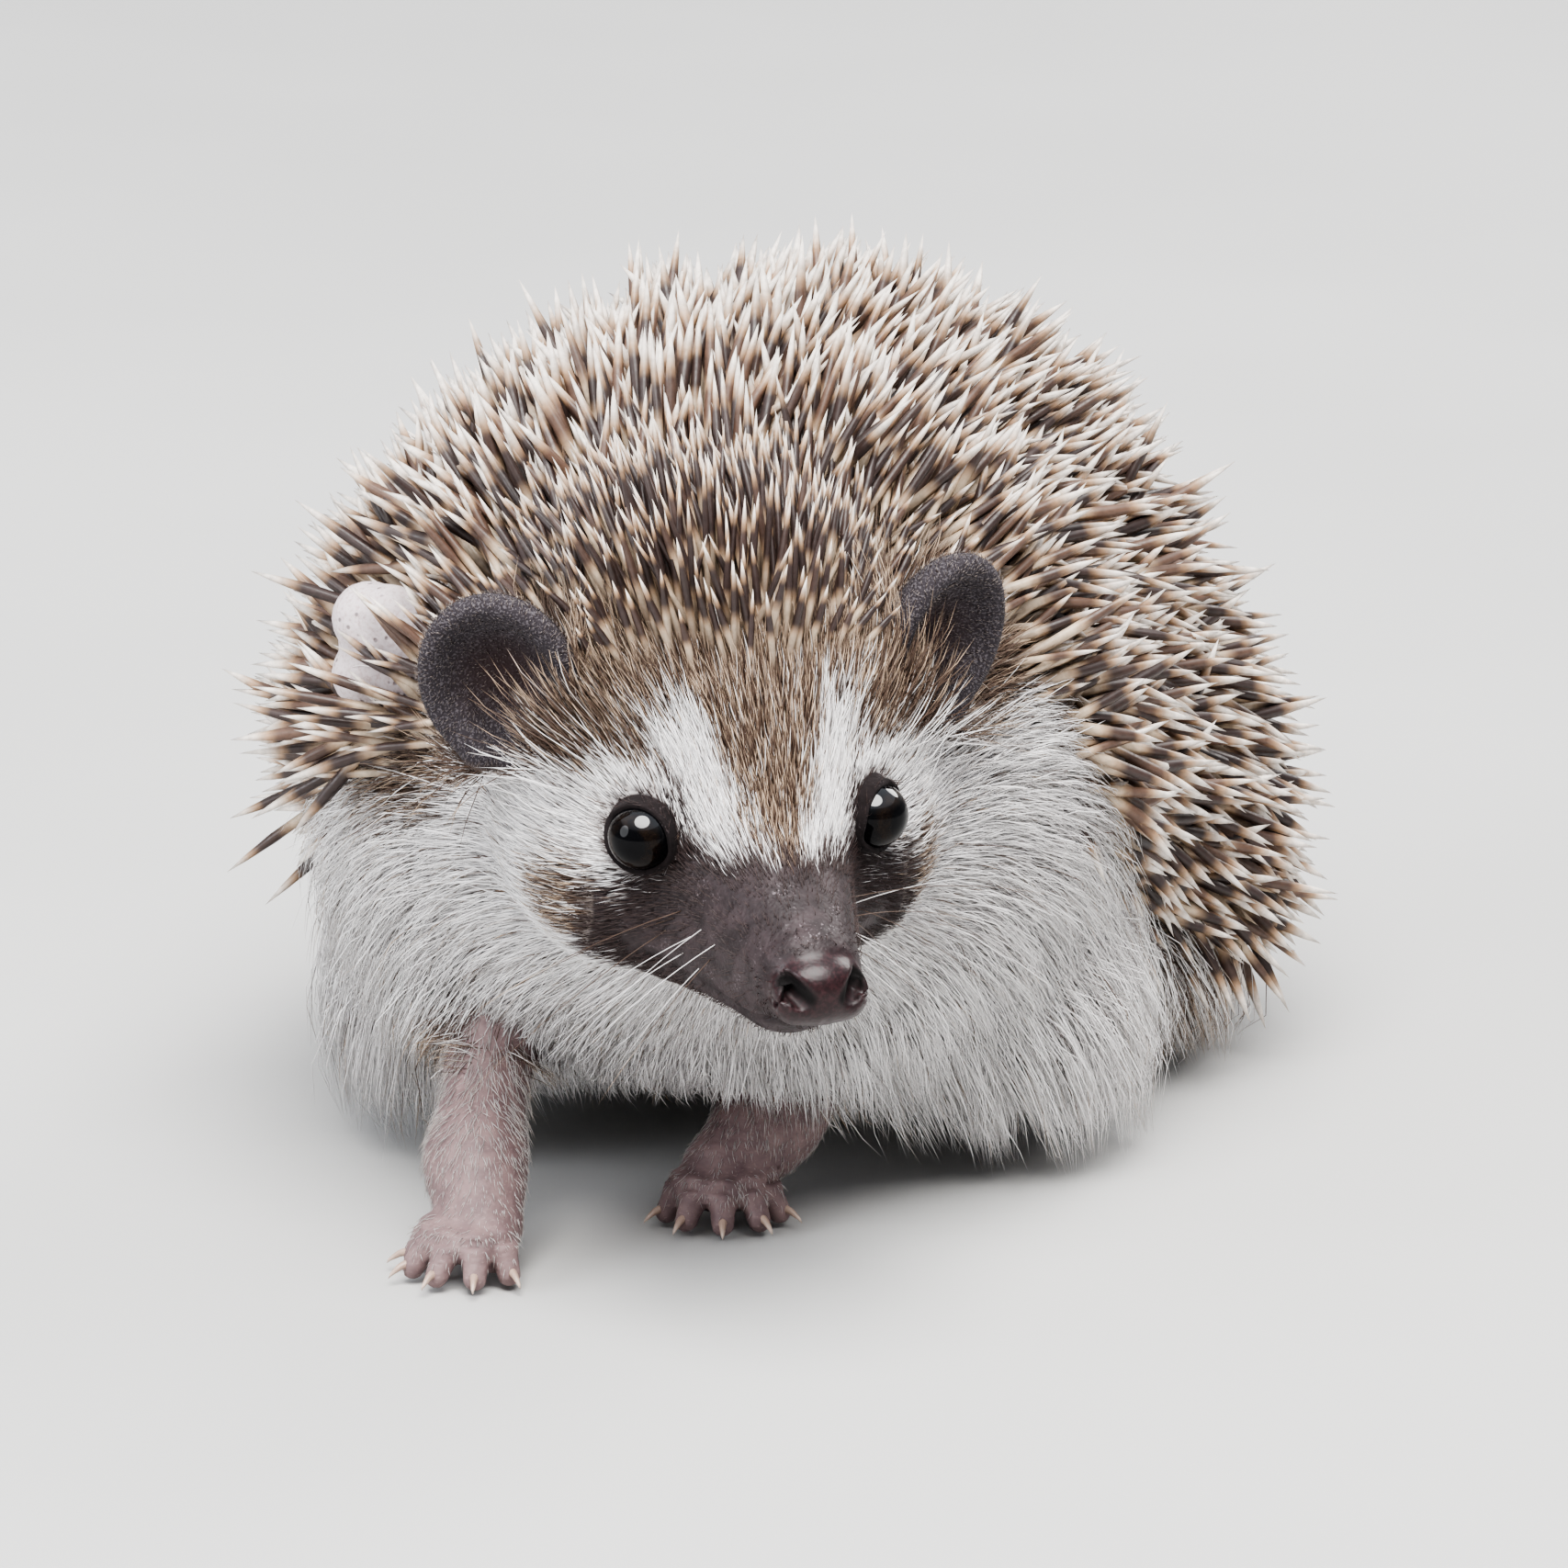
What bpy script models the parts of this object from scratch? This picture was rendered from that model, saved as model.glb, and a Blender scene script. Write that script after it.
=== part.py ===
"""A standing hedgehog, life size, as closed solids out to the tips of its quills and fur.

The animal faces -Y with its left side at +X and stands on the floor at Z = 0. The body is
worked out in millimetres as a smooth blend of simple masses, covered by a coat of the right
depth, and then parted into its nodes. Ears, eyes, nose, tail and claws are seated on it.
"""

from math import cos, radians, sin

import bmesh
import bpy
import numpy as np
from mathutils import Matrix, Vector

# ---------------------------------------------------------------- sizes, in millimetres
MM = 0.001
GAP = 0.3                     # clear space between two nodes that touch in life
GRID = 0.9                    # spacing of the samples the body is meshed from
BODY_FACES = 3200             # triangles of the whole coat before it is parted
ORIGIN = (-2.2, -7.0)         # where the middle of the outline lies, seen from above

HEAD_AT = np.array([20.4, -66.6, 47.7])      # midway between the eyes
HEAD_YAW, HEAD_PITCH, HEAD_ROLL = 38.0, 19.0, 0.5
CHEST_YAW = 12.0

# centre, half sizes, how softly it runs into the rest, yaw
TRUNK = (
    ((-3, 2, 44), (30, 45, 30), 1, 0),
    ((-4, 4, 32), (36, 40, 19), 16, 0),
    ((-3, 26, 34), (30, 27, 26), 14, 0),
    ((-3, 42, 30), (22, 15, 18), 12, 0),
    ((1, -23, 43), (31, 27, 26), 14, CHEST_YAW),
    ((0, -26, 33), (32, 22, 16), 12, CHEST_YAW),
    ((6, -40, 37), (21, 18, 15), 12, 20),
    ((18, 28, 25), (15, 18, 15), 10, 0),
    ((-22, 33, 25), (14, 18, 15), 10, 0),
    ((14, 22, 19), (20.5, 25, 9), 8, 0),
    ((-17, 28, 19), (21, 22, 9), 8, 0),
    ((-21, -20, 19), (16, 17, 9), 8, CHEST_YAW),
    ((21, -12, 19), (15, 16, 9), 8, CHEST_YAW),
)
NECK = ((4, -36, 48), 24, 17)                # root, radius there and at the head

# joints down each leg as x, y, z, radius; the last one is the foot's own middle
LEGS = {
    "foreleg_right": ((-13, -40, 33, 9.5), (-15, -42, 22, 7.6), (-11.5, -57, 9, 4.6), (-9, -62, 4.6, 4.2)),
    "foreleg_left": ((21, -33, 33, 9.5), (18, -24, 21, 7.4), (9.5, -33, 8.5, 4.6), (6.5, -38, 4.6, 4.2)),
    "hindleg_left": ((18, 26, 26, 12), (22, 18, 15, 8), (19, 37, 5.5, 4.4), (21, 22, 3.8, 4.2)),
    "hindleg_right": ((-21, 35, 26, 12), (-25, 34, 15, 8), (-20, 54, 5.5, 4.4), (-23, 39, 3.8, 4.2)),
}
# how many toes, the foot's heading, how far the toes fan, their length
FEET = {
    "foreleg_right": (5, -12, 58, 5.2),
    "foreleg_left": (5, 20, 58, 5.2),
    "hindleg_left": (4, 14, 38, 6.0),
    "hindleg_right": (4, -10, 38, 6.0),
}
TOE_RADII = (2.0, 1.75, 1.45)
WRIST = 7.0                                  # height at which a forefoot meets its leg
CLAW_LENGTH, CLAW_RADIUS = 4.2, 0.85

EYE_RADIUS = 3.15
EYE_AT = (11.2, 0.6, 0.3)                    # left, forward, up from midway between the eyes
EAR_AT = (21.5, -13.5, 9.0)
EAR_RADII = (7.6, 4.6, 9.0)                  # across, through, along
EAR_WALL = 1.5
EAR_OUT, EAR_LEAN = 28.0, 14.0
NOSE_AT, NOSE_RADII = (0, 20.6, -4.3), (4.4, 3.2, 3.4)
TAIL = ((-2, 50, 27), (-1, 67, 13), 5.0, 2.0)

QUILL_DEPTH, CROWN_DEPTH, EAR_DEPTH = 11.5, 7.0, 1.5
FUR_DEPTH, FACE_DEPTH, MUZZLE_DEPTH, LEG_DEPTH = 5.5, 1.4, 0.4, 0.5
# height of the border between quills and fur along the flanks
RIM_Y = (-60, -45, -25, -10, 10, 40, 60, 80)
RIM_Z = (64, 56, 42, 28, 18, 12, 16, 20)
FRINGE_DROP = 9.0             # how far the fur of the flanks hangs
FRINGE_CLEARANCE = 1.6        # and how near the floor it may come


# ---------------------------------------------------------------- directions
def turned(yaw, pitch=0.0, roll=0.0):
    """Rows point left, forward and up for something turned to its left and nodding down."""
    y, p, r = radians(yaw), radians(pitch), radians(roll)
    forward = np.array([sin(y) * cos(p), -cos(y) * cos(p), -sin(p)])
    level = np.array([cos(y), sin(y), 0.0])
    upright = np.cross(level, -forward)
    return np.array([level * cos(r) + upright * sin(r), forward, upright * cos(r) - level * sin(r)])


HEAD_AXES = turned(HEAD_YAW, HEAD_PITCH, HEAD_ROLL)


def head(left, forward, up):
    """A place on the head given in the head's own directions."""
    return HEAD_AT + np.array([left, forward, up]) @ HEAD_AXES


def in_head(points):
    """Left, forward and up of points, seen from the head."""
    return (points - HEAD_AT) @ HEAD_AXES.T


def ramp(values, start, end):
    """0 before start, 1 after end, straight between."""
    return np.clip((values - start) / (end - start), 0, 1)


# ---------------------------------------------------------------- distances to simple shapes
def soft_min(a, b, k):
    h = np.clip(k - np.abs(a - b), 0, None) / k
    return np.minimum(a, b) - h * h * k * 0.25


def soft_max(a, b, k):
    return -soft_min(-a, -b, k)


def ellipsoid(points, at, radii, axes=None):
    q = points - np.asarray(at, float)
    if axes is not None:
        q = q @ axes.T
    r = np.asarray(radii, float)
    k0 = np.linalg.norm(q / r, axis=1)
    k1 = np.linalg.norm(q / (r * r), axis=1) + 1e-9
    return k0 * (k0 - 1) / k1


def limb(points, a, b, ra, rb):
    d = b - a
    t = np.clip((points - a) @ d / (d @ d), 0, 1)
    return np.linalg.norm(points - a - t[:, None] * d, axis=1) - (ra + (rb - ra) * t)


class Clay:
    """Distance to masses blended together one after another."""

    def __init__(self, points):
        self.points = points
        self.depth = np.full(len(points), 60.0)

    def add(self, centre, reach, shape, blend):
        away = self.points - np.asarray(centre, float)
        near = np.flatnonzero(np.einsum("ij,ij->i", away, away) < (reach + blend + 24) ** 2)
        if len(near):
            self.depth[near] = soft_min(self.depth[near], shape(self.points[near]), blend)

    def mass(self, at, radii, blend, axes=None):
        self.add(at, max(radii), lambda q: ellipsoid(q, at, radii, axes), blend)

    def limb(self, a, b, ra, rb, blend):
        a, b = np.asarray(a, float), np.asarray(b, float)
        reach = np.linalg.norm(b - a) / 2 + max(ra, rb)
        self.add((a + b) / 2, reach, lambda q: limb(q, a, b, ra, rb), blend)


# ---------------------------------------------------------------- the animal under its coat
def trunk(points):
    """Trunk, neck and the round of the head."""
    clay = Clay(points)
    for at, radii, blend, yaw in TRUNK:
        clay.mass(at, radii, blend, turned(yaw))
    clay.limb(NECK[0], head(0, -17, 0), NECK[1], NECK[2], 14)
    clay.mass(head(0, -14, -1), (17, 14.5, 14.5), 8, HEAD_AXES)
    clay.mass(head(0, -3.5, 1), (9, 10, 8.4), 5, HEAD_AXES)
    for side in (1, -1):
        clay.mass(head(9.5 * side, -8.5, -9), (9, 11, 8), 5, HEAD_AXES)
    return clay.depth


def toes(leg):
    """Root, knuckle, tip and heading of each toe of a foot."""
    count, heading, fan, length = FEET[leg]
    x, y, z, radius = LEGS[leg][-1]
    found = []
    for share in np.linspace(-1, 1, count):
        turn = radians(heading + share * fan)
        along = np.array([sin(turn), -cos(turn), 0.0])
        reach = length * (1 - 0.22 * share * share)
        root = np.array([x, y, z * 0.8]) + along * radius * 0.55
        knuckle = root + along * reach * 0.62 + np.array([0, 0, 0.35])
        tip = root + along * reach
        tip[2] = TOE_RADII[2] + 0.1
        found.append((root, knuckle, tip, along))
    return found


def muzzle(points):
    clay = Clay(points)
    clay.limb(head(0, 0, -4.2), head(0, 17.2, -4.6), 9.0, 5.0, 5)
    clay.limb(head(0, -6, -10), head(0, 13, -9.4), 8.0, 3.5, 3)
    clay.mass(head(0, 18.6, -4.8), (3.9, 3.0, 3.2), 1, HEAD_AXES)
    return clay.depth


def leg_shape(points, leg):
    """One leg with its foot and toes."""
    clay = Clay(points)
    joints = LEGS[leg]
    for (x0, y0, z0, r0), (x1, y1, z1, r1) in zip(joints[:-1], joints[1:]):
        clay.limb((x0, y0, z0), (x1, y1, z1), r0, r1, 5)
    for root, knuckle, tip, _along in toes(leg):
        clay.limb(root, knuckle, TOE_RADII[0], TOE_RADII[1], 1.6)
        clay.limb(knuckle, tip, TOE_RADII[1], TOE_RADII[2], 0.8)
    return clay.depth


# ---------------------------------------------------------------- the coat
def quilled(points):
    """1 where quills grow, 0 where fur does."""
    seen = in_head(points)
    flank = (points[:, 2] - np.interp(points[:, 1], RIM_Y, RIM_Z)) / 8
    brow = np.minimum((-3 - seen[:, 1] - 0.025 * seen[:, 0] ** 2) / 4, (seen[:, 2] - 6) / 4)
    nape = (-18 - seen[:, 1]) / 6
    return np.clip(np.minimum(flank, np.maximum(brow, nape)), 0, 1)


def coat_depth(points):
    seen = in_head(points)
    face = ramp(seen[:, 1], -24, -10) * ramp(-np.linalg.norm(seen, axis=1), -34, -26)
    front = ramp(seen[:, 1], -2, 6) * face
    eyes = np.linalg.norm(np.abs(seen * (1, 0, 0)) + seen * (0, 1, 1) - EYE_AT, axis=1)
    front = np.maximum(front, ramp(-eyes, -8, -4.5))
    fur = FUR_DEPTH * (1 - face) + FACE_DEPTH * face
    fur = fur * (1 - front) + MUZZLE_DEPTH * front
    quill = QUILL_DEPTH * (1 - face) + CROWN_DEPTH * face
    ears = np.linalg.norm(np.abs(seen * (1, 0, 0)) + seen * (0, 1, 1) - EAR_AT, axis=1)
    quill = EAR_DEPTH + (quill - EAR_DEPTH) * ramp(ears, 8, 15)
    belly = ramp(-points[:, 2], -14, -9) * ramp(-np.abs(points[:, 0] + 2), -34, -28)
    fur = fur * (1 - 0.55 * belly)
    share = quilled(points)
    return fur * (1 - share) + quill * share


def coat(points):
    """The outline out to the tips of quills and fur."""
    under = trunk(points)
    depth = coat_depth(points)
    seen = in_head(points)
    behind = ramp(-seen[:, 1], 6, 16) * ramp(points[:, 1], -52, -28)
    wide = ramp(np.abs(points[:, 0] + 2), 27, 35)
    drop = FRINGE_DROP * behind * wide
    lifted = points + drop[:, None] * np.array([0, 0, 1.0])
    hung = trunk(lifted) - 4.5 * behind * wide
    furred = soft_max(soft_min(under - depth, hung, 6), FRINGE_CLEARANCE - points[:, 2], 3)
    return soft_min(furred, muzzle(points) - MUZZLE_DEPTH, 3)


# ---------------------------------------------------------------- from distances to faces
def surface(field, low, high, step, coarse=4):
    """Quads where the field is nought, from samples taken only near that surface."""
    low = np.asarray(low, float)
    blocks = np.ceil((np.asarray(high, float) - low) / (step * coarse)).astype(int)
    size = step * coarse
    axes = [low[i] + (np.arange(blocks[i]) + 0.5) * size for i in range(3)]
    middles = np.stack(np.meshgrid(*axes, indexing="ij"), -1).reshape(-1, 3)
    rough = field(middles)
    close = np.flatnonzero(np.abs(rough) < size * 1.5)
    cells = np.stack(np.meshgrid(*[np.arange(coarse)] * 3, indexing="ij"), -1).reshape(-1, 3)
    at = np.stack(np.unravel_index(close, blocks), -1)[:, None, :] * coarse + cells
    at = at.reshape(-1, 3)
    grid = np.repeat(rough.reshape(blocks), coarse, 0)
    grid = np.repeat(np.repeat(grid, coarse, 1), coarse, 2)
    grid[at[:, 0], at[:, 1], at[:, 2]] = field(low + (at + 0.5) * step)
    inside = grid < 0
    count = np.zeros([n - 1 for n in grid.shape], np.int8)
    for i in (0, 1):
        for j in (0, 1):
            for k in (0, 1):
                count += inside[i:i + count.shape[0], j:j + count.shape[1], k:k + count.shape[2]]
    mixed = (count > 0) & (count < 8)
    number = np.full(count.shape, -1)
    number[mixed] = np.arange(mixed.sum())
    points = low + (np.argwhere(mixed) + 1.0) * step
    quads = []
    for axis in range(3):
        first = np.take(inside, np.arange(inside.shape[axis] - 1), axis)
        second = np.take(inside, np.arange(1, inside.shape[axis]), axis)
        edge = np.argwhere(first != second)
        starts = first[tuple(edge.T)]
        b, c = (axis + 1) % 3, (axis + 2) % 3
        ring = []
        for db, dc in ((-1, -1), (0, -1), (0, 0), (-1, 0)):
            cell = edge.copy()
            cell[:, b] += db
            cell[:, c] += dc
            ring.append(number[tuple(cell.T)])
        ring = np.stack(ring, -1)
        ring[~starts] = ring[~starts][:, ::-1]
        quads.append(ring)
    quads = np.concatenate(quads)
    return settle(field, points, 3, step), quads


def settle(field, points, rounds, limit):
    """Points slid along the slope of the field onto the surface."""
    for _ in range(rounds):
        value = field(points)
        slope = np.stack([field(points + d) - field(points - d) for d in np.eye(3) * 0.05], -1) / 0.1
        steep = np.maximum(np.einsum("ij,ij->i", slope, slope), 0.2)
        points = points - slope * np.clip(value / steep, -limit, limit)[:, None]
    return points


def new_object(name, points, faces):
    mesh = bpy.data.meshes.new(name)
    loops = [[int(i) for i in face] for face in faces]
    mesh.from_pydata(np.asarray(points).tolist(), [], loops)
    found = bpy.data.objects.new(name, mesh)
    bpy.context.scene.collection.objects.link(found)
    return found


def bake(thing, kind, **settings):
    """Runs one modifier and keeps its result as the object's own mesh."""
    step = thing.modifiers.new(kind.lower(), kind)
    for key, value in settings.items():
        setattr(step, key, value)
    graph = bpy.context.evaluated_depsgraph_get()
    graph.update()
    mesh = bpy.data.meshes.new_from_object(thing.evaluated_get(graph))
    thing.modifiers.clear()
    thing.data = mesh
    return thing


def boolean(thing, cutter, operation):
    return bake(thing, "BOOLEAN", object=cutter, operation=operation, solver="EXACT")


def copy_of(thing, name):
    found = thing.copy()
    found.data = thing.data.copy()
    found.name = name
    bpy.context.scene.collection.objects.link(found)
    return found


def remove(thing):
    bpy.data.objects.remove(thing)


def swollen(thing, amount):
    """A copy with every point moved out along its normal."""
    found = copy_of(thing, "swollen")
    mesh = found.data
    normals = [vertex.normal.copy() for vertex in mesh.vertices]
    for vertex, normal in zip(mesh.vertices, normals):
        vertex.co += normal * amount
    return found


def cleaned(thing):
    """Merges stray points, drops crumbs and keeps the largest closed body."""
    work = bmesh.new()
    work.from_mesh(thing.data)
    bmesh.ops.remove_doubles(work, verts=work.verts, dist=0.004)
    bmesh.ops.dissolve_degenerate(work, edges=work.edges, dist=0.002)
    seen, groups = set(), []
    for start in work.verts:
        if start in seen:
            continue
        stack, group = [start], []
        seen.add(start)
        while stack:
            vertex = stack.pop()
            group.append(vertex)
            for edge in vertex.link_edges:
                other = edge.other_vert(vertex)
                if other not in seen:
                    seen.add(other)
                    stack.append(other)
        groups.append(group)
    groups.sort(key=len)
    for group in groups[:-1]:
        bmesh.ops.delete(work, geom=group, context="VERTS")
    bmesh.ops.triangulate(work, faces=[face for face in work.faces if len(face.verts) > 3])
    bmesh.ops.recalc_face_normals(work, faces=work.faces)
    work.to_mesh(thing.data)
    work.free()
    return thing


# ---------------------------------------------------------------- seated pieces
def ear_frame(side):
    """Middle of an ear and the directions across it, out of its opening and up it."""
    out, lean = radians(EAR_OUT), radians(EAR_LEAN)
    opening = np.array([side * sin(out), cos(out), 0.05])
    opening /= np.linalg.norm(opening)
    up = np.array([side * sin(lean), -0.12, cos(lean)])
    up -= opening * (up @ opening)
    up /= np.linalg.norm(up)
    across = np.cross(opening, up)
    return head(EAR_AT[0] * side, EAR_AT[1], EAR_AT[2]), np.array([across, opening, up]) @ HEAD_AXES


def ear_shape(points, side):
    """A shallow cup of skin."""
    at, axes = ear_frame(side)
    q = (points - at) @ axes.T
    bowl = ellipsoid(q, (0, 0, 0), EAR_RADII)
    inner = (EAR_RADII[0] - EAR_WALL, EAR_RADII[1] + 0.2, EAR_RADII[2] - EAR_WALL)
    scoop = ellipsoid(q, (0, 2.6, 0), inner)
    return soft_max(soft_max(bowl, -scoop, 0.8), q[:, 1] - 1.2, 1.0)


def is_closed(thing):
    """Whether every edge lies between exactly two faces."""
    work = bmesh.new()
    work.from_mesh(thing.data)
    closed = all(len(edge.link_faces) == 2 for edge in work.edges)
    work.free()
    return closed


def shaped(name, field, low, high, step, faces, coarse=2):
    """A closed solid meshed from its own field, then thinned to about so many triangles."""
    points, quads = surface(field, low, high, step, coarse)
    found = new_object(name, points, quads)
    for finer in (1.0, 0.94, 0.88, 0.82):
        trial = copy_of(found, name)
        bake(trial, "REMESH", mode="VOXEL", voxel_size=step * finer, adaptivity=0.0)
        even = settle(field, np.array([vertex.co for vertex in trial.data.vertices]), 2, step / 2)
        trial.data.vertices.foreach_set("co", even.ravel())
        bake(trial, "DECIMATE", ratio=min(1.0, faces / (2 * len(trial.data.polygons))))
        cleaned(trial)
        if is_closed(trial):
            remove(found)
            return trial
        remove(trial)
    raise ValueError(name + " could not be closed")


def ball(name, at, radii, axes, rings=10, sides=16):
    mesh = bpy.data.meshes.new(name)
    work = bmesh.new()
    bmesh.ops.create_uvsphere(work, u_segments=sides, v_segments=rings, radius=1.0)
    stretch = np.asarray(axes).T @ np.diag(radii)
    whole = Matrix.Translation(Vector(at)) @ Matrix(stretch.tolist()).to_4x4()
    bmesh.ops.transform(work, matrix=whole, verts=work.verts)
    bmesh.ops.recalc_face_normals(work, faces=work.faces)
    work.to_mesh(mesh)
    work.free()
    found = bpy.data.objects.new(name, mesh)
    bpy.context.scene.collection.objects.link(found)
    return found


def claw(name, tip, along):
    """A curved, tapering claw from inside the toe to its own point."""
    sides = 6
    side = np.cross(along, (0, 0, 1.0))
    points, faces = [], []
    stations = ((-1.2, 0.2, 1.0), (0.6, 0.45, 0.95), (2.0, 0.3, 0.7), (CLAW_LENGTH - 0.6, -0.3, 0.35))
    for reach, rise, share in stations:
        middle = np.asarray(tip) + along * reach + np.array([0, 0, rise])
        for i in range(sides):
            turn = radians(360 * i / sides)
            out = side * cos(turn) * 0.8 + np.array([0, 0, 1.0]) * sin(turn)
            points.append(middle + out * CLAW_RADIUS * share)
    for row in range(len(stations) - 1):
        for i in range(sides):
            j = (i + 1) % sides
            a, b = row * sides, (row + 1) * sides
            faces.append((a + i, a + j, b + j, b + i))
    points.append(np.asarray(tip) + along * CLAW_LENGTH + np.array([0, 0, -0.75]))
    last = (len(stations) - 1) * sides
    faces += [(last + i, last + (i + 1) % sides, len(points) - 1) for i in range(sides)]
    faces.append(tuple(reversed(range(sides))))
    return cleaned(new_object(name, points, faces))


def seated(piece, grown):
    """Cuts away whatever of a piece lies in the body, so that it sits against it."""
    boolean(piece, grown, "DIFFERENCE")
    return cleaned(piece)


def planed(piece, at, outward):
    """Planes off everything on the outward side of a plane and closes the cut."""
    work = bmesh.new()
    work.from_mesh(piece.data)
    geometry = work.verts[:] + work.edges[:] + work.faces[:]
    cut = bmesh.ops.bisect_plane(work, geom=geometry, dist=1e-4, plane_co=Vector(at),
                                 plane_no=Vector(outward), clear_outer=True)
    edges = [part for part in cut["geom_cut"] if isinstance(part, bmesh.types.BMEdge)]
    bmesh.ops.triangle_fill(work, edges=edges, use_beauty=True, normal=Vector(outward))
    work.to_mesh(piece.data)
    work.free()
    return cleaned(piece)


def split(piece, at, normal, name):
    """Parts what lies along the normal from a piece, leaving the gap between the two."""
    at, normal = np.asarray(at, float), np.asarray(normal, float)
    normal = normal / np.linalg.norm(normal)
    found = copy_of(piece, name)
    planed(found, at + normal * GAP / 2, -normal)
    planed(piece, at - normal * GAP / 2, normal)
    return found


# ---------------------------------------------------------------- materials
COLOURS = {
    "spines": ((0.62, 0.50, 0.38, 1), 0.5),
    "white_fur": ((0.78, 0.74, 0.68, 1), 0.9),
    "face_fur": ((0.42, 0.33, 0.27, 1), 0.85),
    "ear_skin": ((0.10, 0.075, 0.08, 1), 0.6),
    "nose_skin": ((0.12, 0.06, 0.06, 1), 0.3),
    "leg_skin": ((0.42, 0.26, 0.22, 1), 0.6),
    "claw_horn": ((0.55, 0.45, 0.36, 1), 0.4),
    "eye_black": ((0.01, 0.01, 0.012, 1), 0.08),
}


def material(slot, name):
    colour, rough = COLOURS[slot]
    found = bpy.data.materials.new(name)
    found.use_nodes = True
    shader = found.node_tree.nodes["Principled BSDF"]
    shader.inputs["Base Color"].default_value = colour
    shader.inputs["Roughness"].default_value = rough
    return found


def finish(piece, name, slot):
    """Names a node, brings it to metres about the shared origin and gives it its material."""
    piece.name = name
    piece.data.name = name
    shift = Matrix.Translation((-ORIGIN[0] * MM, -ORIGIN[1] * MM, 0)) @ Matrix.Scale(MM, 4)
    piece.data.transform(shift)
    piece.data.materials.clear()
    piece.data.materials.append(material(slot, name))
    return piece


# ---------------------------------------------------------------- the whole animal
UPRIGHT = np.eye(3)


def part_head(rest):
    """Jaw, muzzle, crown, the rest of the head and the neck."""
    _left, forward, up = HEAD_AXES
    nodes = {}
    nodes["head"] = split(rest, head(0, -17, 0), forward, "head")
    nodes["snout"] = split(nodes["head"], head(0, 5, 0), forward, "snout")
    nodes["lower_jaw"] = split(nodes["snout"], head(0, 0, -8.4), -up, "lower_jaw")
    nodes["crown"] = split(nodes["head"], head(0, -3, 9.5), up, "crown")
    nodes["throat"] = split(nodes["head"], head(0, -10, -19), -up, "throat")
    nodes["neck"] = split(rest, head(0, -30, 0), forward, "neck")
    return nodes


def leg_parts(grown):
    """Each leg as far as it shows below the coat; only the forelegs show above the foot."""
    nodes = {}
    for leg, joints in LEGS.items():
        kind, side = leg.split("leg_")
        spread = np.array([[x, y] for x, y, _z, _r in joints])
        low = (*(spread.min(0) - 17), -6)
        high = (*(spread.max(0) + 17), 46)
        piece = shaped(leg, lambda q, one=leg: leg_shape(q, one) - LEG_DEPTH, low, high, 0.75, 380, 4)
        planed(piece, (0, 0, 0), (0, 0, -1))
        seated(piece, grown)
        foot = kind + "foot_" + side
        if kind == "fore":
            nodes[foot] = split(piece, (0, 0, WRIST), (0, 0, -1), foot)
            nodes[leg] = piece
        else:
            nodes[foot] = piece
    return nodes


def part_trunk(rest):
    """Fur below, quills above, each in stretches from the shoulders to the rump."""
    nodes = {}
    nodes["rump"] = split(rest, (0, 37, 0), (0, 1, 0), "rump")
    nodes["mantle_rear"] = split(rest, (0, 9, 0), (0, 1, 0), "mantle_rear")
    nodes["flank_rear"] = split(nodes["mantle_rear"], (0, 22, 16), (0, 0.05, -1), "flank_rear")
    nodes["mantle_middle"] = split(rest, (0, -18, 0), (0, 1, 0), "mantle_middle")
    nodes["belly"] = split(nodes["mantle_middle"], (0, -5, 24), (0, -0.35, -1), "belly")
    nodes["mantle_front"] = cleaned(rest)
    nodes["chest"] = split(nodes["mantle_front"], (0, -25, 38), (0, -0.75, -1), "chest")
    return nodes


def small_parts(grown, legs):
    nodes = {}
    for side, word in ((1, "left"), (-1, "right")):
        at, _axes = ear_frame(side)
        ear = shaped("ear", lambda q, s=side: ear_shape(q, s), at - 12, at + 12, 0.6, 260)
        nodes["ear_" + word] = (seated(ear, grown), "ear_skin")
        place = head(EYE_AT[0] * side, EYE_AT[1], EYE_AT[2])
        eye = ball("eye", place, (EYE_RADIUS,) * 3, HEAD_AXES)
        nodes["eye_" + word] = (seated(eye, grown), "eye_black")
    nose = ball("nose", head(*NOSE_AT), NOSE_RADII, HEAD_AXES)
    nodes["nose"] = (seated(nose, grown), "nose_skin")
    start, end, ra, rb = np.array(TAIL[0], float), np.array(TAIL[1], float), TAIL[2], TAIL[3]
    tail = shaped("tail", lambda q: limb(q, start, end, ra, rb), (-12, 40, 4), (12, 74, 36), 1.0, 140)
    nodes["tail"] = (seated(tail, grown), "leg_skin")
    for leg in LEGS:
        kind, word = leg.split("leg_")
        around = swollen(legs[kind + "foot_" + word], GAP)
        for i, (_root, _knuckle, tip, along) in enumerate(toes(leg)):
            name = "claw_" + kind + "_" + word + "_" + str(i + 1)
            nodes[name] = (seated(seated(claw(name, tip, along), around), grown), "claw_horn")
        remove(around)
    return nodes


SLOTS = {
    "lower_jaw": "face_fur", "snout": "face_fur", "crown": "spines", "head": "face_fur",
    "neck": "spines", "throat": "white_fur", "chest": "white_fur", "belly": "white_fur", "mantle_front": "spines",
    "mantle_middle": "spines", "mantle_rear": "spines", "rump": "spines", "flank_rear": "white_fur",
}


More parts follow.
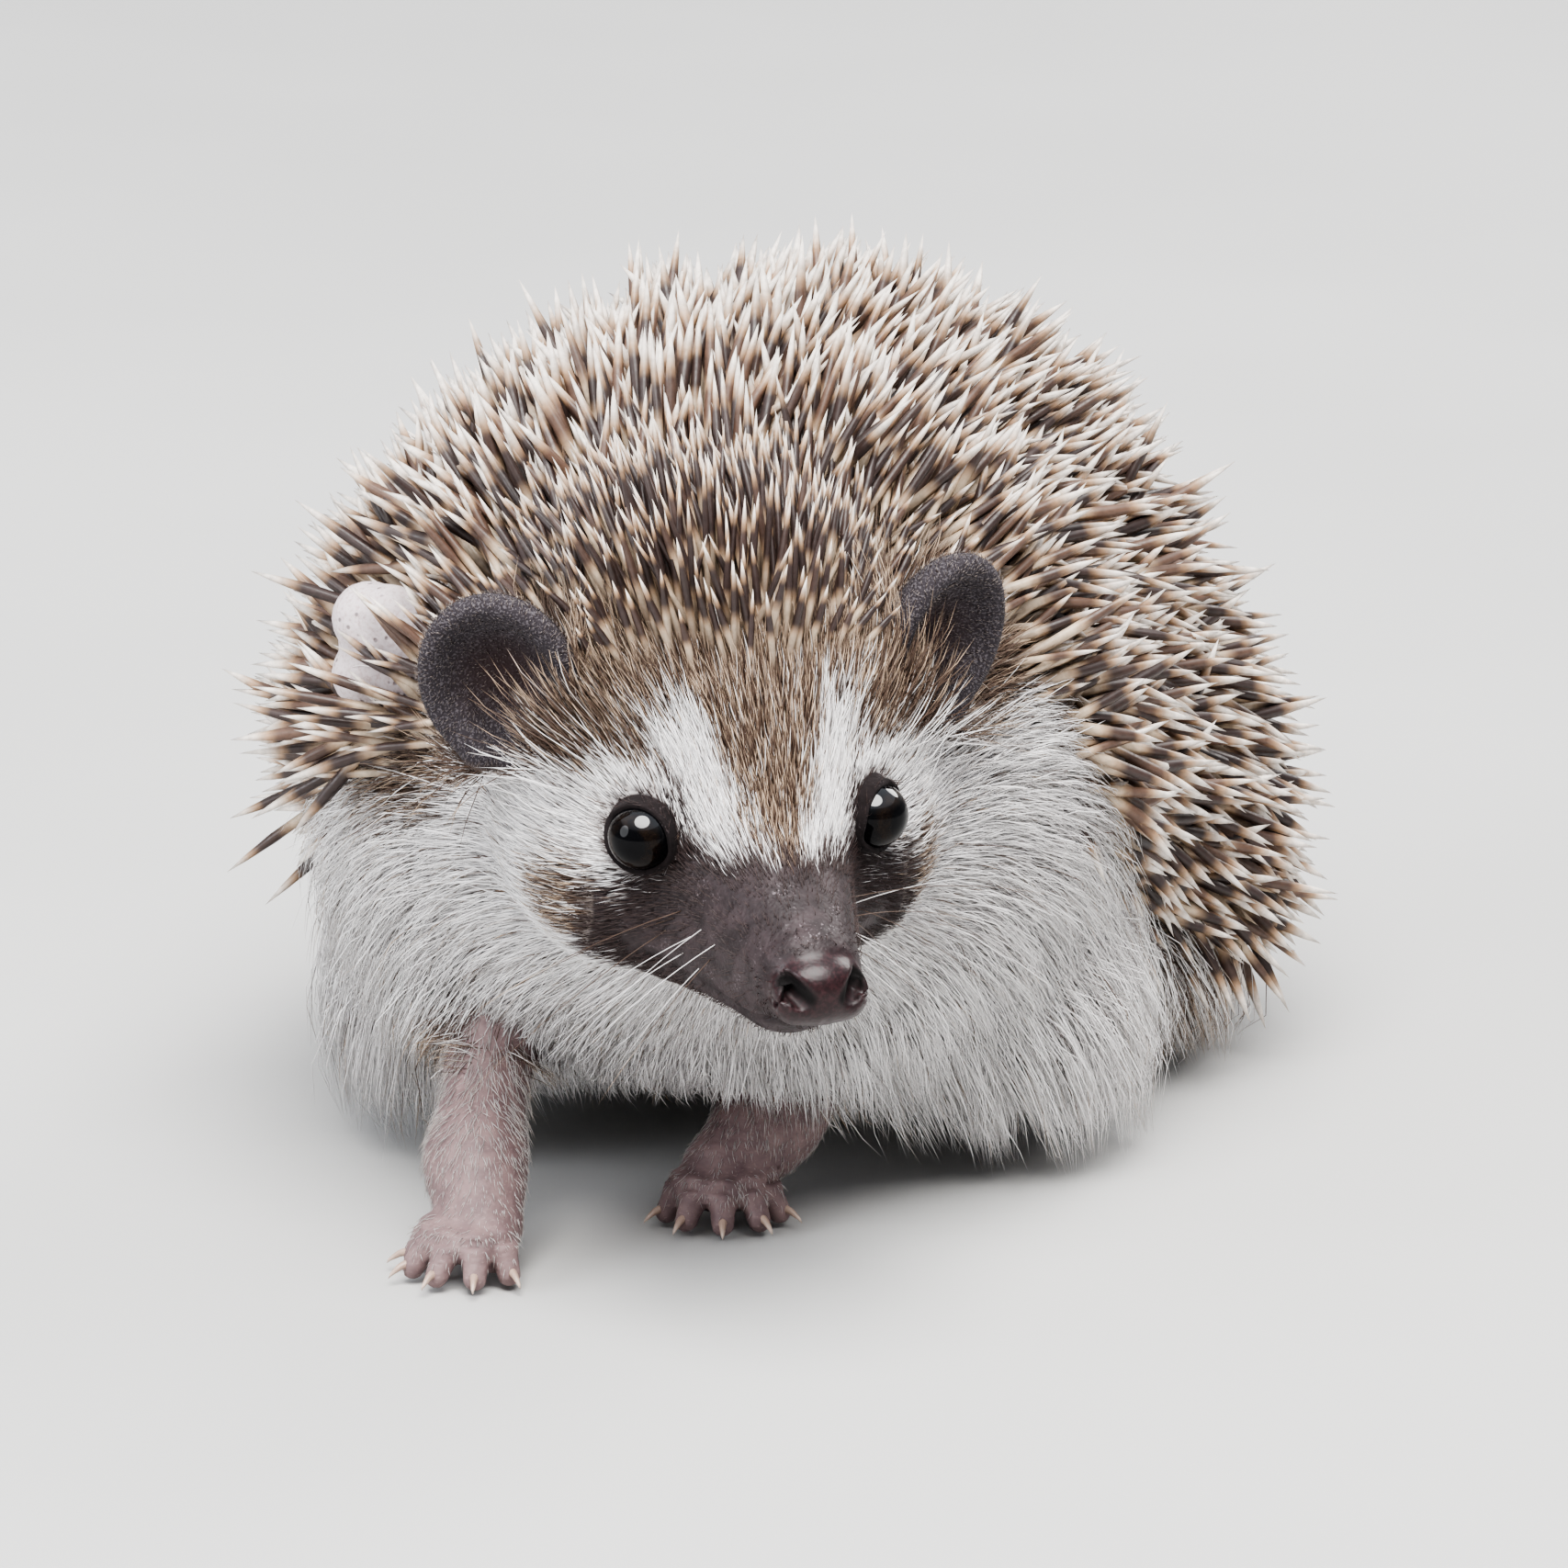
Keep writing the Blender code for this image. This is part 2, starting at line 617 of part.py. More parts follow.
def main():
    for thing in list(bpy.data.objects):
        bpy.data.objects.remove(thing)
    body = shaped("body", coat, (-62, -100, -6), (62, 86, 104), GRID, BODY_FACES, 4)
    planed(body, (0, 0, 0), (0, 0, -1))
    grown = swollen(body, GAP)
    nodes = leg_parts(grown)
    small = small_parts(grown, nodes)
    remove(grown)
    nodes.update(part_head(body))
    nodes.update(part_trunk(body))
    for name, piece in nodes.items():
        finish(piece, name, SLOTS.get(name, "leg_skin"))
    for name, (piece, slot) in small.items():
        finish(piece, name, slot)


main()
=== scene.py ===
"""Looks of a life-size standing hedgehog: one skin, and the quills, fur and whiskers over it.

Laid out as an add-on and run as a script. The body is worked out in millimetres as the same
smooth blend of masses that its solids have, facing -Y with its left side at +X, and is brought
to the part's frame, in metres, as each piece is made.
"""

from math import cos, pi, radians, sin

import bmesh
import bpy
import numpy as np
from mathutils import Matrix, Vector


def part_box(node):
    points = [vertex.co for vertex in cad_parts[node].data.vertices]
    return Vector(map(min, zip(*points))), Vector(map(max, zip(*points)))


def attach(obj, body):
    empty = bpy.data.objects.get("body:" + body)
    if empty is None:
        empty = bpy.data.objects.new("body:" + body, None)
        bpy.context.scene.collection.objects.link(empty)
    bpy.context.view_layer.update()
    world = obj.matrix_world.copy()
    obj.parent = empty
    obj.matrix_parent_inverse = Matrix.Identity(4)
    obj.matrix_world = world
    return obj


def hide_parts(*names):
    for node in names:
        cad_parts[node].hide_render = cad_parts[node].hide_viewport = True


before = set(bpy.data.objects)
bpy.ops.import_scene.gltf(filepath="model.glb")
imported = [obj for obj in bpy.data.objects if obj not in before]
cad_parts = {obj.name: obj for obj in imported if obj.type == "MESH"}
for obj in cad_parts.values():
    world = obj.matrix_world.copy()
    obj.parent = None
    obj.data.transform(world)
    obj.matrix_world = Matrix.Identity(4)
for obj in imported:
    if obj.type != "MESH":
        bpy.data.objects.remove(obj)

bl_info = {
    "name": "Hedgehog",
    "version": (1, 0, 0),
    "blender": (4, 5, 0),
    "location": "View3D > Sidebar > Hedgehog",
    "description": "Skin, quills, fur, whiskers, eyes and claws of a standing hedgehog",
    "category": "Object",
}

# ---------------------------------------------------------------- the body's sizes, in millimetres
MM = 0.001
HOME = np.array([2.2, 7.0, 0.0])             # from the body's own origin to the part's
DOWN = np.array([0.0, 0.0, -1.0])

HEAD_AT = np.array([20.4, -66.6, 47.7])      # midway between the eyes
HEAD_YAW, HEAD_PITCH, HEAD_ROLL = 38.0, 19.0, 0.5   # in degrees, like all turns here
CHEST_YAW = 12.0

# centre, half sizes, how softly it runs into the rest, yaw
TRUNK = (
    ((-3, 2, 44), (30, 45, 30), 1, 0),
    ((-4, 4, 32), (36, 40, 19), 16, 0),
    ((-3, 26, 34), (30, 27, 26), 14, 0),
    ((-3, 42, 30), (22, 15, 18), 12, 0),
    ((1, -23, 43), (31, 27, 26), 14, CHEST_YAW),
    ((0, -26, 33), (32, 22, 16), 12, CHEST_YAW),
    ((6, -40, 37), (21, 18, 15), 12, 20),
    ((18, 28, 25), (15, 18, 15), 10, 0),
    ((-22, 33, 25), (14, 18, 15), 10, 0),
    ((14, 22, 19), (20.5, 25, 9), 8, 0),
    ((-17, 28, 19), (21, 22, 9), 8, 0),
    ((-21, -20, 19), (16, 17, 9), 8, CHEST_YAW),
    ((21, -12, 19), (15, 16, 9), 8, CHEST_YAW),
)
NECK = ((4, -36, 48), 24, 17)                # root, radius there and at the head

# joints down each leg as x, y, z, radius; the last one is the foot's own middle
LEGS = {
    "foreleg_right": ((-13, -40, 33, 9.5), (-15, -42, 22, 7.6), (-11.5, -57, 9, 4.6), (-9, -62, 4.6, 4.2)),
    "foreleg_left": ((21, -33, 33, 9.5), (18, -24, 21, 7.4), (9.5, -33, 8.5, 4.6), (6.5, -38, 4.6, 4.2)),
    "hindleg_left": ((18, 26, 26, 12), (22, 18, 15, 8), (19, 37, 5.5, 4.4), (21, 22, 3.8, 4.2)),
    "hindleg_right": ((-21, 35, 26, 12), (-25, 34, 15, 8), (-20, 54, 5.5, 4.4), (-23, 39, 3.8, 4.2)),
}
# how many toes, the foot's heading, how far the toes fan, their length
FEET = {
    "foreleg_right": (5, -12, 58, 5.2),
    "foreleg_left": (5, 20, 58, 5.2),
    "hindleg_left": (4, 14, 38, 6.0),
    "hindleg_right": (4, -10, 38, 6.0),
}
TOE_RADII = (2.0, 1.75, 1.45)                # at its root, knuckle and tip
CLAW_REACH = 0.62                            # how far claws reach, as a share of the longest

EYE_RADIUS = 3.15
EYE_AT = (11.2, 0.6, 0.3)                    # left, forward, up from midway between the eyes
EYE_OUT = (0.66, 0.72, 0.2)                  # where the left eye looks
EYE_SWELL = 0.05                             # how far the eye swells out over its iris
LID, EYE_BED = 0.42, 1.2                     # thickness of a lid, and the skin's depth under the eye
LID_OPENING = 1.24                           # half the angle between the lids, in radians
EAR_AT = (21.5, -13.5, 9.0)
EAR_RADII = (7.6, 4.6, 9.0)                  # across, through, along
EAR_WALL = 1.5                               # how thick the ear's cup is
EAR_OUT, EAR_LEAN = 28.0, 14.0               # how far an ear opens outwards and tilts
NOSE_AT, NOSE_RADII = (0, 20.6, -4.3), (4.4, 3.2, 3.4)
TAIL = ((-2, 50, 27), (-1, 67, 13), 5.0, 2.0)   # root, tip, radius at each
SCAR_AT, SCAR_REACH = (-23.0, -45.4, 55.8), 7.0   # bare lumpy skin among the quills
# place of each lump from there, and its radius
SCAR_LUMPS = (
    ((0, 0, 0), 5.2), ((-3.2, -0.8, 2.6), 3.6), ((3.0, -1.6, 1.8), 3.4),
    ((-3.4, -1.0, -2.8), 3.4), ((2.2, -1.8, -2.6), 3.6), ((-0.4, -2.2, 3.6), 2.8),
)
SHOULDER_AT, SHOULDER_RADII = (-19.0, -52.0, 47.0), (11.0, 12.0, 6.0)   # brown hair by the right ear

# grooves in the left half of the face: start, end, radius at each, how softly they are cut
GROOVES = (
    ((1.9, 24.6, -2.9), (3.3, 21.0, -2.5), 0.85, 0.6, 0.4),      # nostril
    ((1.9, 24.6, -3.9), (3.3, 21.0, -3.5), 0.85, 0.6, 0.4),
    ((3.8, 22.3, -4.4), (5.2, 19.2, -5.4), 0.3, 0.22, 0.35),     # slit behind the nostril
    ((0.4, 21.6, -8.2), (4.9, 14.0, -10.2), 0.42, 0.42, 0.5),    # mouth, from the front back
    ((4.9, 14.0, -10.2), (7.8, 7.5, -11.2), 0.42, 0.4, 0.5),
    ((7.8, 7.5, -11.2), (10.2, 1.0, -12.2), 0.4, 0.25, 0.6),
)
LIP_GROOVE = ((0, 24.4, -5.4), (0, 21.6, -8.6), 0.3, 0.36, 0.4)  # down the middle of the lip

FUR_DEPTH, FACE_DEPTH = 5.5, 1.4             # how far the fur stands off the skin
LEG_DEPTH = (1.2, 2.9, 0.9, 0.2)             # how far a leg's hair does, at each of its joints
# height of the border between quills and fur along the left and the right flank
RIM_Y = (-60, -50, -40, -30, -22, -10, 10, 40, 60, 80)
RIM_LEFT = (76, 72, 66, 54, 38, 28, 17, 7, 9, 14)
RIM_RIGHT = (50, 43, 38, 32, 27, 22, 15, 8, 10, 14)

# how thick strands are along their length, as shares of their full thickness
QUILL_STATIONS = np.array([0.0, 0.12, 0.64, 0.85, 1.0])
QUILL_WIDTHS = np.array([0.5, 0.92, 1.0, 0.56, 0.0])
FACE_WIDTHS = np.array([0.9, 1.0, 0.7, 0.0])
FUR_WIDTHS = np.array([0.8, 1.0, 0.8, 0.0])
DOWN_WIDTHS = np.array([1.0, 0.8, 0.0])
QUILL_SIDES, HAIR_SIDES, WHISKER_SIDES, CLAW_SIDES = 5, 3, 5, 12
MOST_QUILLS, MOST_HAIRS, MOST_DOWN = 5200, 12200, 19000      # in one piece
PATCH = 0.003                                # how wide a strand's patch is on the coat's map


# ---------------------------------------------------------------- directions
def turned(yaw, pitch=0.0, roll=0.0):
    """Rows point left, forward and up for something turned to its left and nodding down."""
    y, p, r = radians(yaw), radians(pitch), radians(roll)
    forward = np.array([sin(y) * cos(p), -cos(y) * cos(p), -sin(p)])
    level = np.array([cos(y), sin(y), 0.0])
    upright = np.cross(level, -forward)
    return np.array([level * cos(r) + upright * sin(r), forward, upright * cos(r) - level * sin(r)])


HEAD_AXES = turned(HEAD_YAW, HEAD_PITCH, HEAD_ROLL)


def head(left, forward, up):
    """A place on the head given in the head's own directions."""
    return HEAD_AT + np.array([left, forward, up]) @ HEAD_AXES


def in_head(points):
    """Left, forward and up of points, seen from the head."""
    return (points - HEAD_AT) @ HEAD_AXES.T


def ramp(values, start, end):
    """0 before start, 1 after end, straight between."""
    return np.clip((values - start) / (end - start), 0, 1)


def bump(values, middle, width):
    """1 at the middle, fading to nothing about a width away."""
    return np.exp(-((values - middle) / width) ** 2)


def size_of(vectors):
    """How long each vector is."""
    return np.linalg.norm(vectors, axis=1)


def most(*values):
    """The greatest of several values at each point."""
    return np.max(np.broadcast_arrays(*values), axis=0)


def unit(vectors):
    return vectors / np.maximum(np.linalg.norm(vectors, axis=-1, keepdims=True), 1e-9)


def across(vectors, normals):
    """The part of each vector that lies along the skin, as a direction."""
    flat = vectors - normals * np.einsum("ij,ij->i", vectors, normals)[:, None]
    return unit(flat)


def strayed(way, normals, rng, stray):
    """Ways along the skin, each turned by chance."""
    return across(way + rng.normal(size=way.shape) * stray, normals)


def taken(which, *arrays):
    """The same rows of several arrays."""
    return [array[which] for array in arrays]


# ---------------------------------------------------------------- distances to simple shapes
def soft_min(a, b, k):
    """The lesser of two, rounded off where they are within k of each other."""
    h = np.clip(k - np.abs(a - b), 0, None) / k
    return np.minimum(a, b) - h * h * k * 0.25


def soft_max(a, b, k):
    return -soft_min(-a, -b, k)


def ellipsoid(points, at, radii, axes=None):
    q = points - np.asarray(at, float)
    if axes is not None:
        q = q @ axes.T
    r = np.asarray(radii, float)
    k0 = size_of(q / r)
    k1 = size_of(q / (r * r)) + 1e-9
    return k0 * (k0 - 1) / k1


def limb(points, a, b, ra, rb):
    a, b = np.asarray(a, float), np.asarray(b, float)
    d = b - a
    t = np.clip((points - a) @ d / (d @ d), 0, 1)
    return size_of(points - a - t[:, None] * d) - (ra + (rb - ra) * t)


class Clay:
    """Distance to masses blended together one after another."""

    def __init__(self, points, depth=None):
        self.points = points
        self.depth = np.full(len(points), 60.0) if depth is None else depth

    def near(self, centre, reach):
        away = self.points - np.asarray(centre, float)
        return np.flatnonzero(np.einsum("ij,ij->i", away, away) < reach * reach)

    def add(self, centre, reach, shape, blend):
        near = self.near(centre, reach + blend + 24)
        if len(near):
            self.depth[near] = soft_min(self.depth[near], shape(self.points[near]), blend)

    def carve(self, centre, reach, shape, blend):
        near = self.near(centre, reach + blend + 2)
        if len(near):
            self.depth[near] = soft_max(self.depth[near], -shape(self.points[near]), blend)

    def mass(self, at, radii, blend, axes=None):
        self.add(at, max(radii), lambda q: ellipsoid(q, at, radii, axes), blend)

    def limb(self, a, b, ra, rb, blend, change=None):
        a, b = np.asarray(a, float), np.asarray(b, float)
        reach = np.linalg.norm(b - a) / 2 + max(ra, rb)
        change = change or self.add
        change((a + b) / 2, reach, lambda q: limb(q, a, b, ra, rb), blend)

    def groove(self, a, b, ra, rb, blend):
        self.limb(a, b, ra, rb, blend, self.carve)


# ---------------------------------------------------------------- the animal under its coat
def trunk(points):
    """Trunk, neck and the round of the head."""
    clay = Clay(points)
    for at, radii, blend, yaw in TRUNK:
        clay.mass(at, radii, blend, turned(yaw))
    clay.limb(NECK[0], head(0, -17, 0), NECK[1], NECK[2], 14)
    clay.mass(head(0, -14, -1), (17, 14.5, 14.5), 8, HEAD_AXES)
    clay.mass(head(0, -3.5, 1), (9, 10, 8.4), 5, HEAD_AXES)
    for side in (1, -1):
        clay.mass(head(9.5 * side, -8.5, -9), (9, 11, 8), 5, HEAD_AXES)
    return clay.depth


def muzzle(points):
    clay = Clay(points)
    clay.limb(head(0, 0, -4.2), head(0, 17.2, -4.6), 9.0, 5.0, 5)
    clay.limb(head(0, -6, -10), head(0, 13, -9.4), 8.0, 3.5, 3)
    for side in (1, -1):
        clay.limb(head(5.5 * side, 1, -10.4), head(1.5 * side, 13.2, -8.2), 4.8, 3.6, 3)
    clay.mass(head(0, 18.6, -4.8), (3.9, 3.0, 3.2), 1, HEAD_AXES)
    return clay.depth


def torso(points):
    """Trunk, head and muzzle together, which the coat lies over."""
    return soft_min(trunk(points), muzzle(points), 3)


def toes(leg):
    """Root, knuckle, tip and heading of each toe of a foot."""
    count, heading, fan, length = FEET[leg]
    x, y, z, radius = LEGS[leg][-1]
    found = []
    for share in np.linspace(-1, 1, count):
        turn = radians(heading + share * fan)
        along = np.array([sin(turn), -cos(turn), 0.0])
        reach = length * (1 - 0.22 * share * share)
        root = np.array([x, y, z * 0.8]) + along * radius * 0.55
        knuckle = root + along * reach * 0.62 + np.array([0, 0, 0.35])
        tip = root + along * reach
        tip[2] = TOE_RADII[2] + 0.1
        found.append((root, knuckle, tip, along))
    return found


def leg_shape(points, leg):
    """One leg with its foot, toes and pads."""
    clay = Clay(points)
    places = [joint[:3] for joint in LEGS[leg]]
    radii = [joint[3] - depth for joint, depth in zip(LEGS[leg], LEG_DEPTH)]
    for i in range(len(places) - 1):
        clay.limb(places[i], places[i + 1], radii[i], radii[i + 1], 5)
    for root, knuckle, tip, along in toes(leg):
        clay.limb(root, knuckle, TOE_RADII[0] - 0.5, TOE_RADII[1] - 0.4, 1.8)
        clay.limb(knuckle, tip, TOE_RADII[1] - 0.4, TOE_RADII[2] - 0.35, 0.6)
        clay.groove(tip + along * 1.1, tip + along * 2.6, 0.4, 0.6, 0.3)
        crease = (knuckle + tip) / 2 + np.array([0, 0, 1.9])
        side = np.cross(along, -DOWN)
        clay.groove(crease - side, crease + side, 0.35, 0.35, 0.4)
    return clay.depth


def ear_frame(side):
    """Middle of an ear and the directions across it, out of its opening and up it."""
    out, lean = radians(EAR_OUT), radians(EAR_LEAN)
    opening = unit(np.array([side * sin(out), cos(out), 0.05]))
    up = np.array([side * sin(lean), -0.12, cos(lean)])
    up = unit(up - opening * (up @ opening))
    wide = np.cross(opening, up)
    return head(EAR_AT[0] * side, EAR_AT[1], EAR_AT[2]), np.array([wide, opening, up]) @ HEAD_AXES


def ear_shape(points, side):
    """A shallow cup of skin with a rolled rim and the ridges inside it."""
    at, axes = ear_frame(side)
    q = (points - at) @ axes.T
    bowl = ellipsoid(q, (0, 0, 0), EAR_RADII)
    inner = (EAR_RADII[0] - EAR_WALL, EAR_RADII[1] + 0.2, EAR_RADII[2] - EAR_WALL)
    scoop = ellipsoid(q, (0, 2.6, 0), inner)
    cup = soft_max(soft_max(bowl, -scoop, 0.8), q[:, 1] - 1.2, 1.0)
    wide = side * np.sign(axes[0] @ HEAD_AXES[0])
    ridge = limb(q, (-2.6 * wide, -1.6, -6.5), (-3.6 * wide, -2.0, 1.0), 1.5, 0.7)
    lobe = limb(q, (3.4 * wide, -0.6, -7.5), (4.2 * wide, -0.8, -3.0), 1.7, 0.9)
    return soft_min(soft_min(cup, ridge, 1.4), lobe, 1.2)


def eye_at(side):
    return head(EYE_AT[0] * side, EYE_AT[1], EYE_AT[2])


def eye_frame(side):
    """Middle of an eye and the directions out of it, towards the nose and up."""
    out = unit(np.array([EYE_OUT[0] * side, EYE_OUT[1], EYE_OUT[2]]))
    up = unit(np.array([0, 0, 1.0]) - out * out[2])
    nose = np.cross(up, out) * side
    return eye_at(side), np.array([out, nose, up]) @ HEAD_AXES


def lids(points, depth, side):
    """The head's depth with two lids round an eye, and a scoop between them for the eyeball."""
    at, axes = eye_frame(side)
    q = (points - at) @ axes.T
    r = size_of(q)
    turn = np.arctan2(q[:, 2], q[:, 1])
    width = LID_OPENING + 0.16 * bump(turn, -0.35, 0.4) + 0.08 * bump(np.abs(turn), pi, 0.4)
    opening = (np.arctan2(np.hypot(q[:, 1], q[:, 2]), q[:, 0]) - width) * r
    fold = np.hypot(r - EYE_RADIUS - 1.0, opening - 1.1) - 0.2
    depth = soft_min(depth, r - EYE_RADIUS - LID, 0.8)
    depth = soft_max(depth, -fold, 0.6)
    scoop = soft_max(opening, EYE_RADIUS - EYE_BED - r, 0.4)
    return soft_max(depth, -scoop, 0.2)


def scar_shape(points):
    """Distance to the lumps of the bare patch."""
    clay = Clay(points)
    for place, radius in SCAR_LUMPS:
        clay.mass(np.add(SCAR_AT, place), (radius, radius, radius), 1.2)
    return clay.depth


def skin(points):
    """Distance to the bare skin, with ears, lids, nostrils, lips, legs and tail."""
    clay = Clay(points, torso(points))
    for leg, joints in LEGS.items():
        middle = np.mean([joint[:3] for joint in joints], axis=0)
        clay.add(middle, 12, lambda q, one=leg: leg_shape(q, one), 5)
    clay.limb(TAIL[0], TAIL[1], TAIL[2], TAIL[3], 5)
    clay.add(SCAR_AT, SCAR_REACH, scar_shape, 3)
    for side in (1, -1):
        ear = ear_frame(side)[0]
        clay.add(ear, 11, lambda q, s=side: ear_shape(q, s), 3.0)
        near = clay.near(eye_at(side), 8)
        if len(near):
            clay.depth[near] = lids(points[near], clay.depth[near], side)
    clay.mass(head(*NOSE_AT), NOSE_RADII, 0.5, HEAD_AXES)
    for side in (1, -1):
        clay.mass(head(2.5 * side, 21.6, -4.6), (1.9, 1.7, 2.3), 0.8, HEAD_AXES)
        for start, end, *cut in GROOVES:
            clay.groove(head(start[0] * side, *start[1:]), head(end[0] * side, *end[1:]), *cut)
    start, end, *cut = LIP_GROOVE
    clay.groove(head(*start), head(*end), *cut)
    return clay.depth


def quilled(points):
    """1 where quills grow, 0 where fur does."""
    seen = in_head(points)
    left = ramp(points[:, 0], -12, 16)
    rim_left = np.interp(points[:, 1], RIM_Y, RIM_LEFT)
    rim_right = np.interp(points[:, 1], RIM_Y, RIM_RIGHT)
    flank = (points[:, 2] - rim_left * left - rim_right * (1 - left)) / 7
    brow = np.minimum((-3.4 - seen[:, 1] - 0.036 * seen[:, 0] ** 2) / 4, (seen[:, 2] - 5) / 4)
    brow = np.minimum(brow, (20 - np.abs(seen[:, 0])) / 4)
    nape = (-18 - seen[:, 1]) / 6
    return np.clip(np.maximum(np.minimum(flank, nape), brow), 0, 1)


def from_ear(points):
    """Distance to the middle of the nearer ear."""
    return np.minimum(*[size_of(points - ear_frame(side)[0]) for side in (1, -1)])


def from_eye(points):
    """Distance to the middle of the nearer eye."""
    return np.minimum(*[size_of(points - eye_at(side)) for side in (1, -1)])


def marked(points):
    """The markings at points of the skin, each from 0 to 1.

    face: the front of the head. bare: the dark muzzle and the skin round the eyes. pale: white
    coat against brown. spiny: where quills grow. nose, ear, leg, scar: how far a point belongs to
    each. hollow: deep in an ear. pit: painted shade deep in a nostril, and a darker ring on an
    eye's rim, partly its own dark skin and partly painted shade.
    """
    seen = in_head(points)
    side, forward, up = np.abs(seen[:, 0]), seen[:, 1], seen[:, 2]
    wave = 0.5 * np.sin(seen[:, 0] * 1.7 + 1.0) + 0.5 * np.sin(up * 1.3 + seen[:, 0] * 0.6)
    face = ramp(forward, -24, -10) * ramp(-size_of(seen), -36, -28)
    ear = ramp(-np.min([ear_shape(points, s) for s in (1, -1)], axis=0), -1.2, -0.5)
    ear = ear * ramp(up, -1.5, 1.0)
    hollow = ear * ramp(-from_ear(points), -5.4, -2.6)

    upper = ramp(up, -4, 0)
    top = 11.4 - 0.13 * np.minimum(side, 9) ** 2 + 1.4 * np.clip(side - 9, 0, None)
    low = 4.5 - 0.022 * side ** 2 + 4 * np.clip(side - 14.5, 0, None)
    past = forward - (low + (top - low) * upper) - 0.9 * ramp(side, 8, 12) + 0.7 * wave
    bare = ramp(past, -3.4 + 0.2 * upper, 0.9 + 1.6 * upper)
    bare = np.maximum(bare, ramp(-from_eye(points), -4.05, -3.5)) * (1 - ear)
    nose_radii = np.array(NOSE_RADII) + 0.3
    nose = ramp(-ellipsoid(points, head(*NOSE_AT), nose_radii, HEAD_AXES), -0.5, 0.1)
    wings = ellipsoid(points, head(0, 21.6, -4.6), (4.9, 2.2, 2.9), HEAD_AXES)
    nose = np.maximum(nose, ramp(-wings, -0.5, 0.1))
    # Painted shade: near black deep in each nostril, and a darker ring on each eye's rim that is partly its
    # own dark skin and partly painted shade.
    pits = [limb(points, head(1.9 * s, 24.6, -3.4), head(3.3 * s, 21.0, -3.0), 1.1, 0.85) for s in (1, -1)]
    pit = ramp(-np.min(pits, axis=0), -0.35, 0.1)
    pit = np.maximum(pit, 0.68 * ramp(-from_eye(points), -4.15, -3.6))

    line = np.interp(side, (0, 11.5, 15, 18.6, 23), (5.6, 5.4, 3.4, 2.0, -4))
    crown = ramp(up - line + 0.8 * wave, -1.2, 1.6)
    centre = 6.7 - 0.45 * forward
    half = 1.9 - 0.13 * np.clip(forward, -3, 9)
    stripe = ramp(centre - half - side + 0.6 * wave, -1.0, 1.0) * ramp(up, -1, 2)
    streak = ramp(half - np.abs(side - centre), -1.0, 0.8) * ramp(forward, -3.6, -0.6) * ramp(up, 0, 2)
    cheek = ellipsoid(np.stack([side, forward, up], -1), (15.4, -1.8, -8.2), (3.8, 5.0, 3.2))
    brown = most(crown * (1 - streak), stripe, 0.75 * ramp(-cheek - 0.8 * wave, -2.2, 0.8))
    brown = brown * ramp(forward, -40, -26)

    under = torso(points)
    leg = ramp(under, 0.4, 2.0) * ramp(-points[:, 2], -26, -21)
    leg = np.maximum(leg, ramp(points[:, 1], 52, 56) * ramp(under, 0.5, 1.5))
    spiny = quilled(points)
    rim = bump(spiny, 0.4, 0.35) * ramp(-forward, 8, 16)
    lug = ramp(-from_ear(points), -15, -11) * ramp(up, 0, 4)
    rear = 0.6 * ramp(points[:, 1] + 0.5 * np.clip(points[:, 0], 0, 30), 4, 26) + 0.3 * ramp(under, 0.5, 2.0)
    shoulder = ramp(-ellipsoid(points, SHOULDER_AT, SHOULDER_RADII), -2.0, 1.5)
    brown = most(brown, rear, 0.42 * rim, 0.9 * lug, 0.8 * shoulder, 0.75 * ramp(leg, 0.1, 0.6))
    scar = ramp(-scar_shape(points), -1.3, -0.4)
    return {
        "face": face, "bare": bare * (1 - leg), "pale": 1 - brown, "nose": nose, "ear": ear,
        "hollow": hollow, "leg": leg, "scar": scar, "pit": pit, "spiny": spiny * (1 - ear) * (1 - scar),
    }


# ---------------------------------------------------------------- from distances to a mesh
def surface(field, low, high, step, coarse=4):
    """Quads where the field is nought, from samples taken only near that surface."""
    low = np.asarray(low, float)
    blocks = np.ceil((np.asarray(high, float) - low) / (step * coarse)).astype(int)
    size = step * coarse
    axes = [low[i] + (np.arange(blocks[i]) + 0.5) * size for i in range(3)]
    middles = np.stack(np.meshgrid(*axes, indexing="ij"), -1).reshape(-1, 3)
    rough = field(middles)
    close = np.flatnonzero(np.abs(rough) < size * 1.5)
    cells = np.stack(np.meshgrid(*[np.arange(coarse)] * 3, indexing="ij"), -1).reshape(-1, 3)
    at = np.stack(np.unravel_index(close, blocks), -1)[:, None, :] * coarse + cells
    at = at.reshape(-1, 3)
    grid = np.repeat(rough.reshape(blocks), coarse, 0)
    grid = np.repeat(np.repeat(grid, coarse, 1), coarse, 2)
    grid[at[:, 0], at[:, 1], at[:, 2]] = field(low + (at + 0.5) * step)
    inside = grid < 0
    count = np.zeros([n - 1 for n in grid.shape], np.int8)
    for i in (0, 1):
        for j in (0, 1):
            for k in (0, 1):
                count += inside[i:i + count.shape[0], j:j + count.shape[1], k:k + count.shape[2]]
    mixed = (count > 0) & (count < 8)
    number = np.full(count.shape, -1)
    number[mixed] = np.arange(mixed.sum())
    points = low + (np.argwhere(mixed) + 1.0) * step
    quads = []
    for axis in range(3):
        first = np.take(inside, np.arange(inside.shape[axis] - 1), axis)
        second = np.take(inside, np.arange(1, inside.shape[axis]), axis)
        edge = np.argwhere(first != second)
        starts = first[tuple(edge.T)]
        b, c = (axis + 1) % 3, (axis + 2) % 3
        ring = []
        for db, dc in ((-1, -1), (0, -1), (0, 0), (-1, 0)):
            cell = edge.copy()
            cell[:, b] += db
            cell[:, c] += dc
            ring.append(number[tuple(cell.T)])
        ring = np.stack(ring, -1)
        ring[~starts] = ring[~starts][:, ::-1]
        quads.append(ring)
    return settle(field, points, 3, step), np.concatenate(quads)


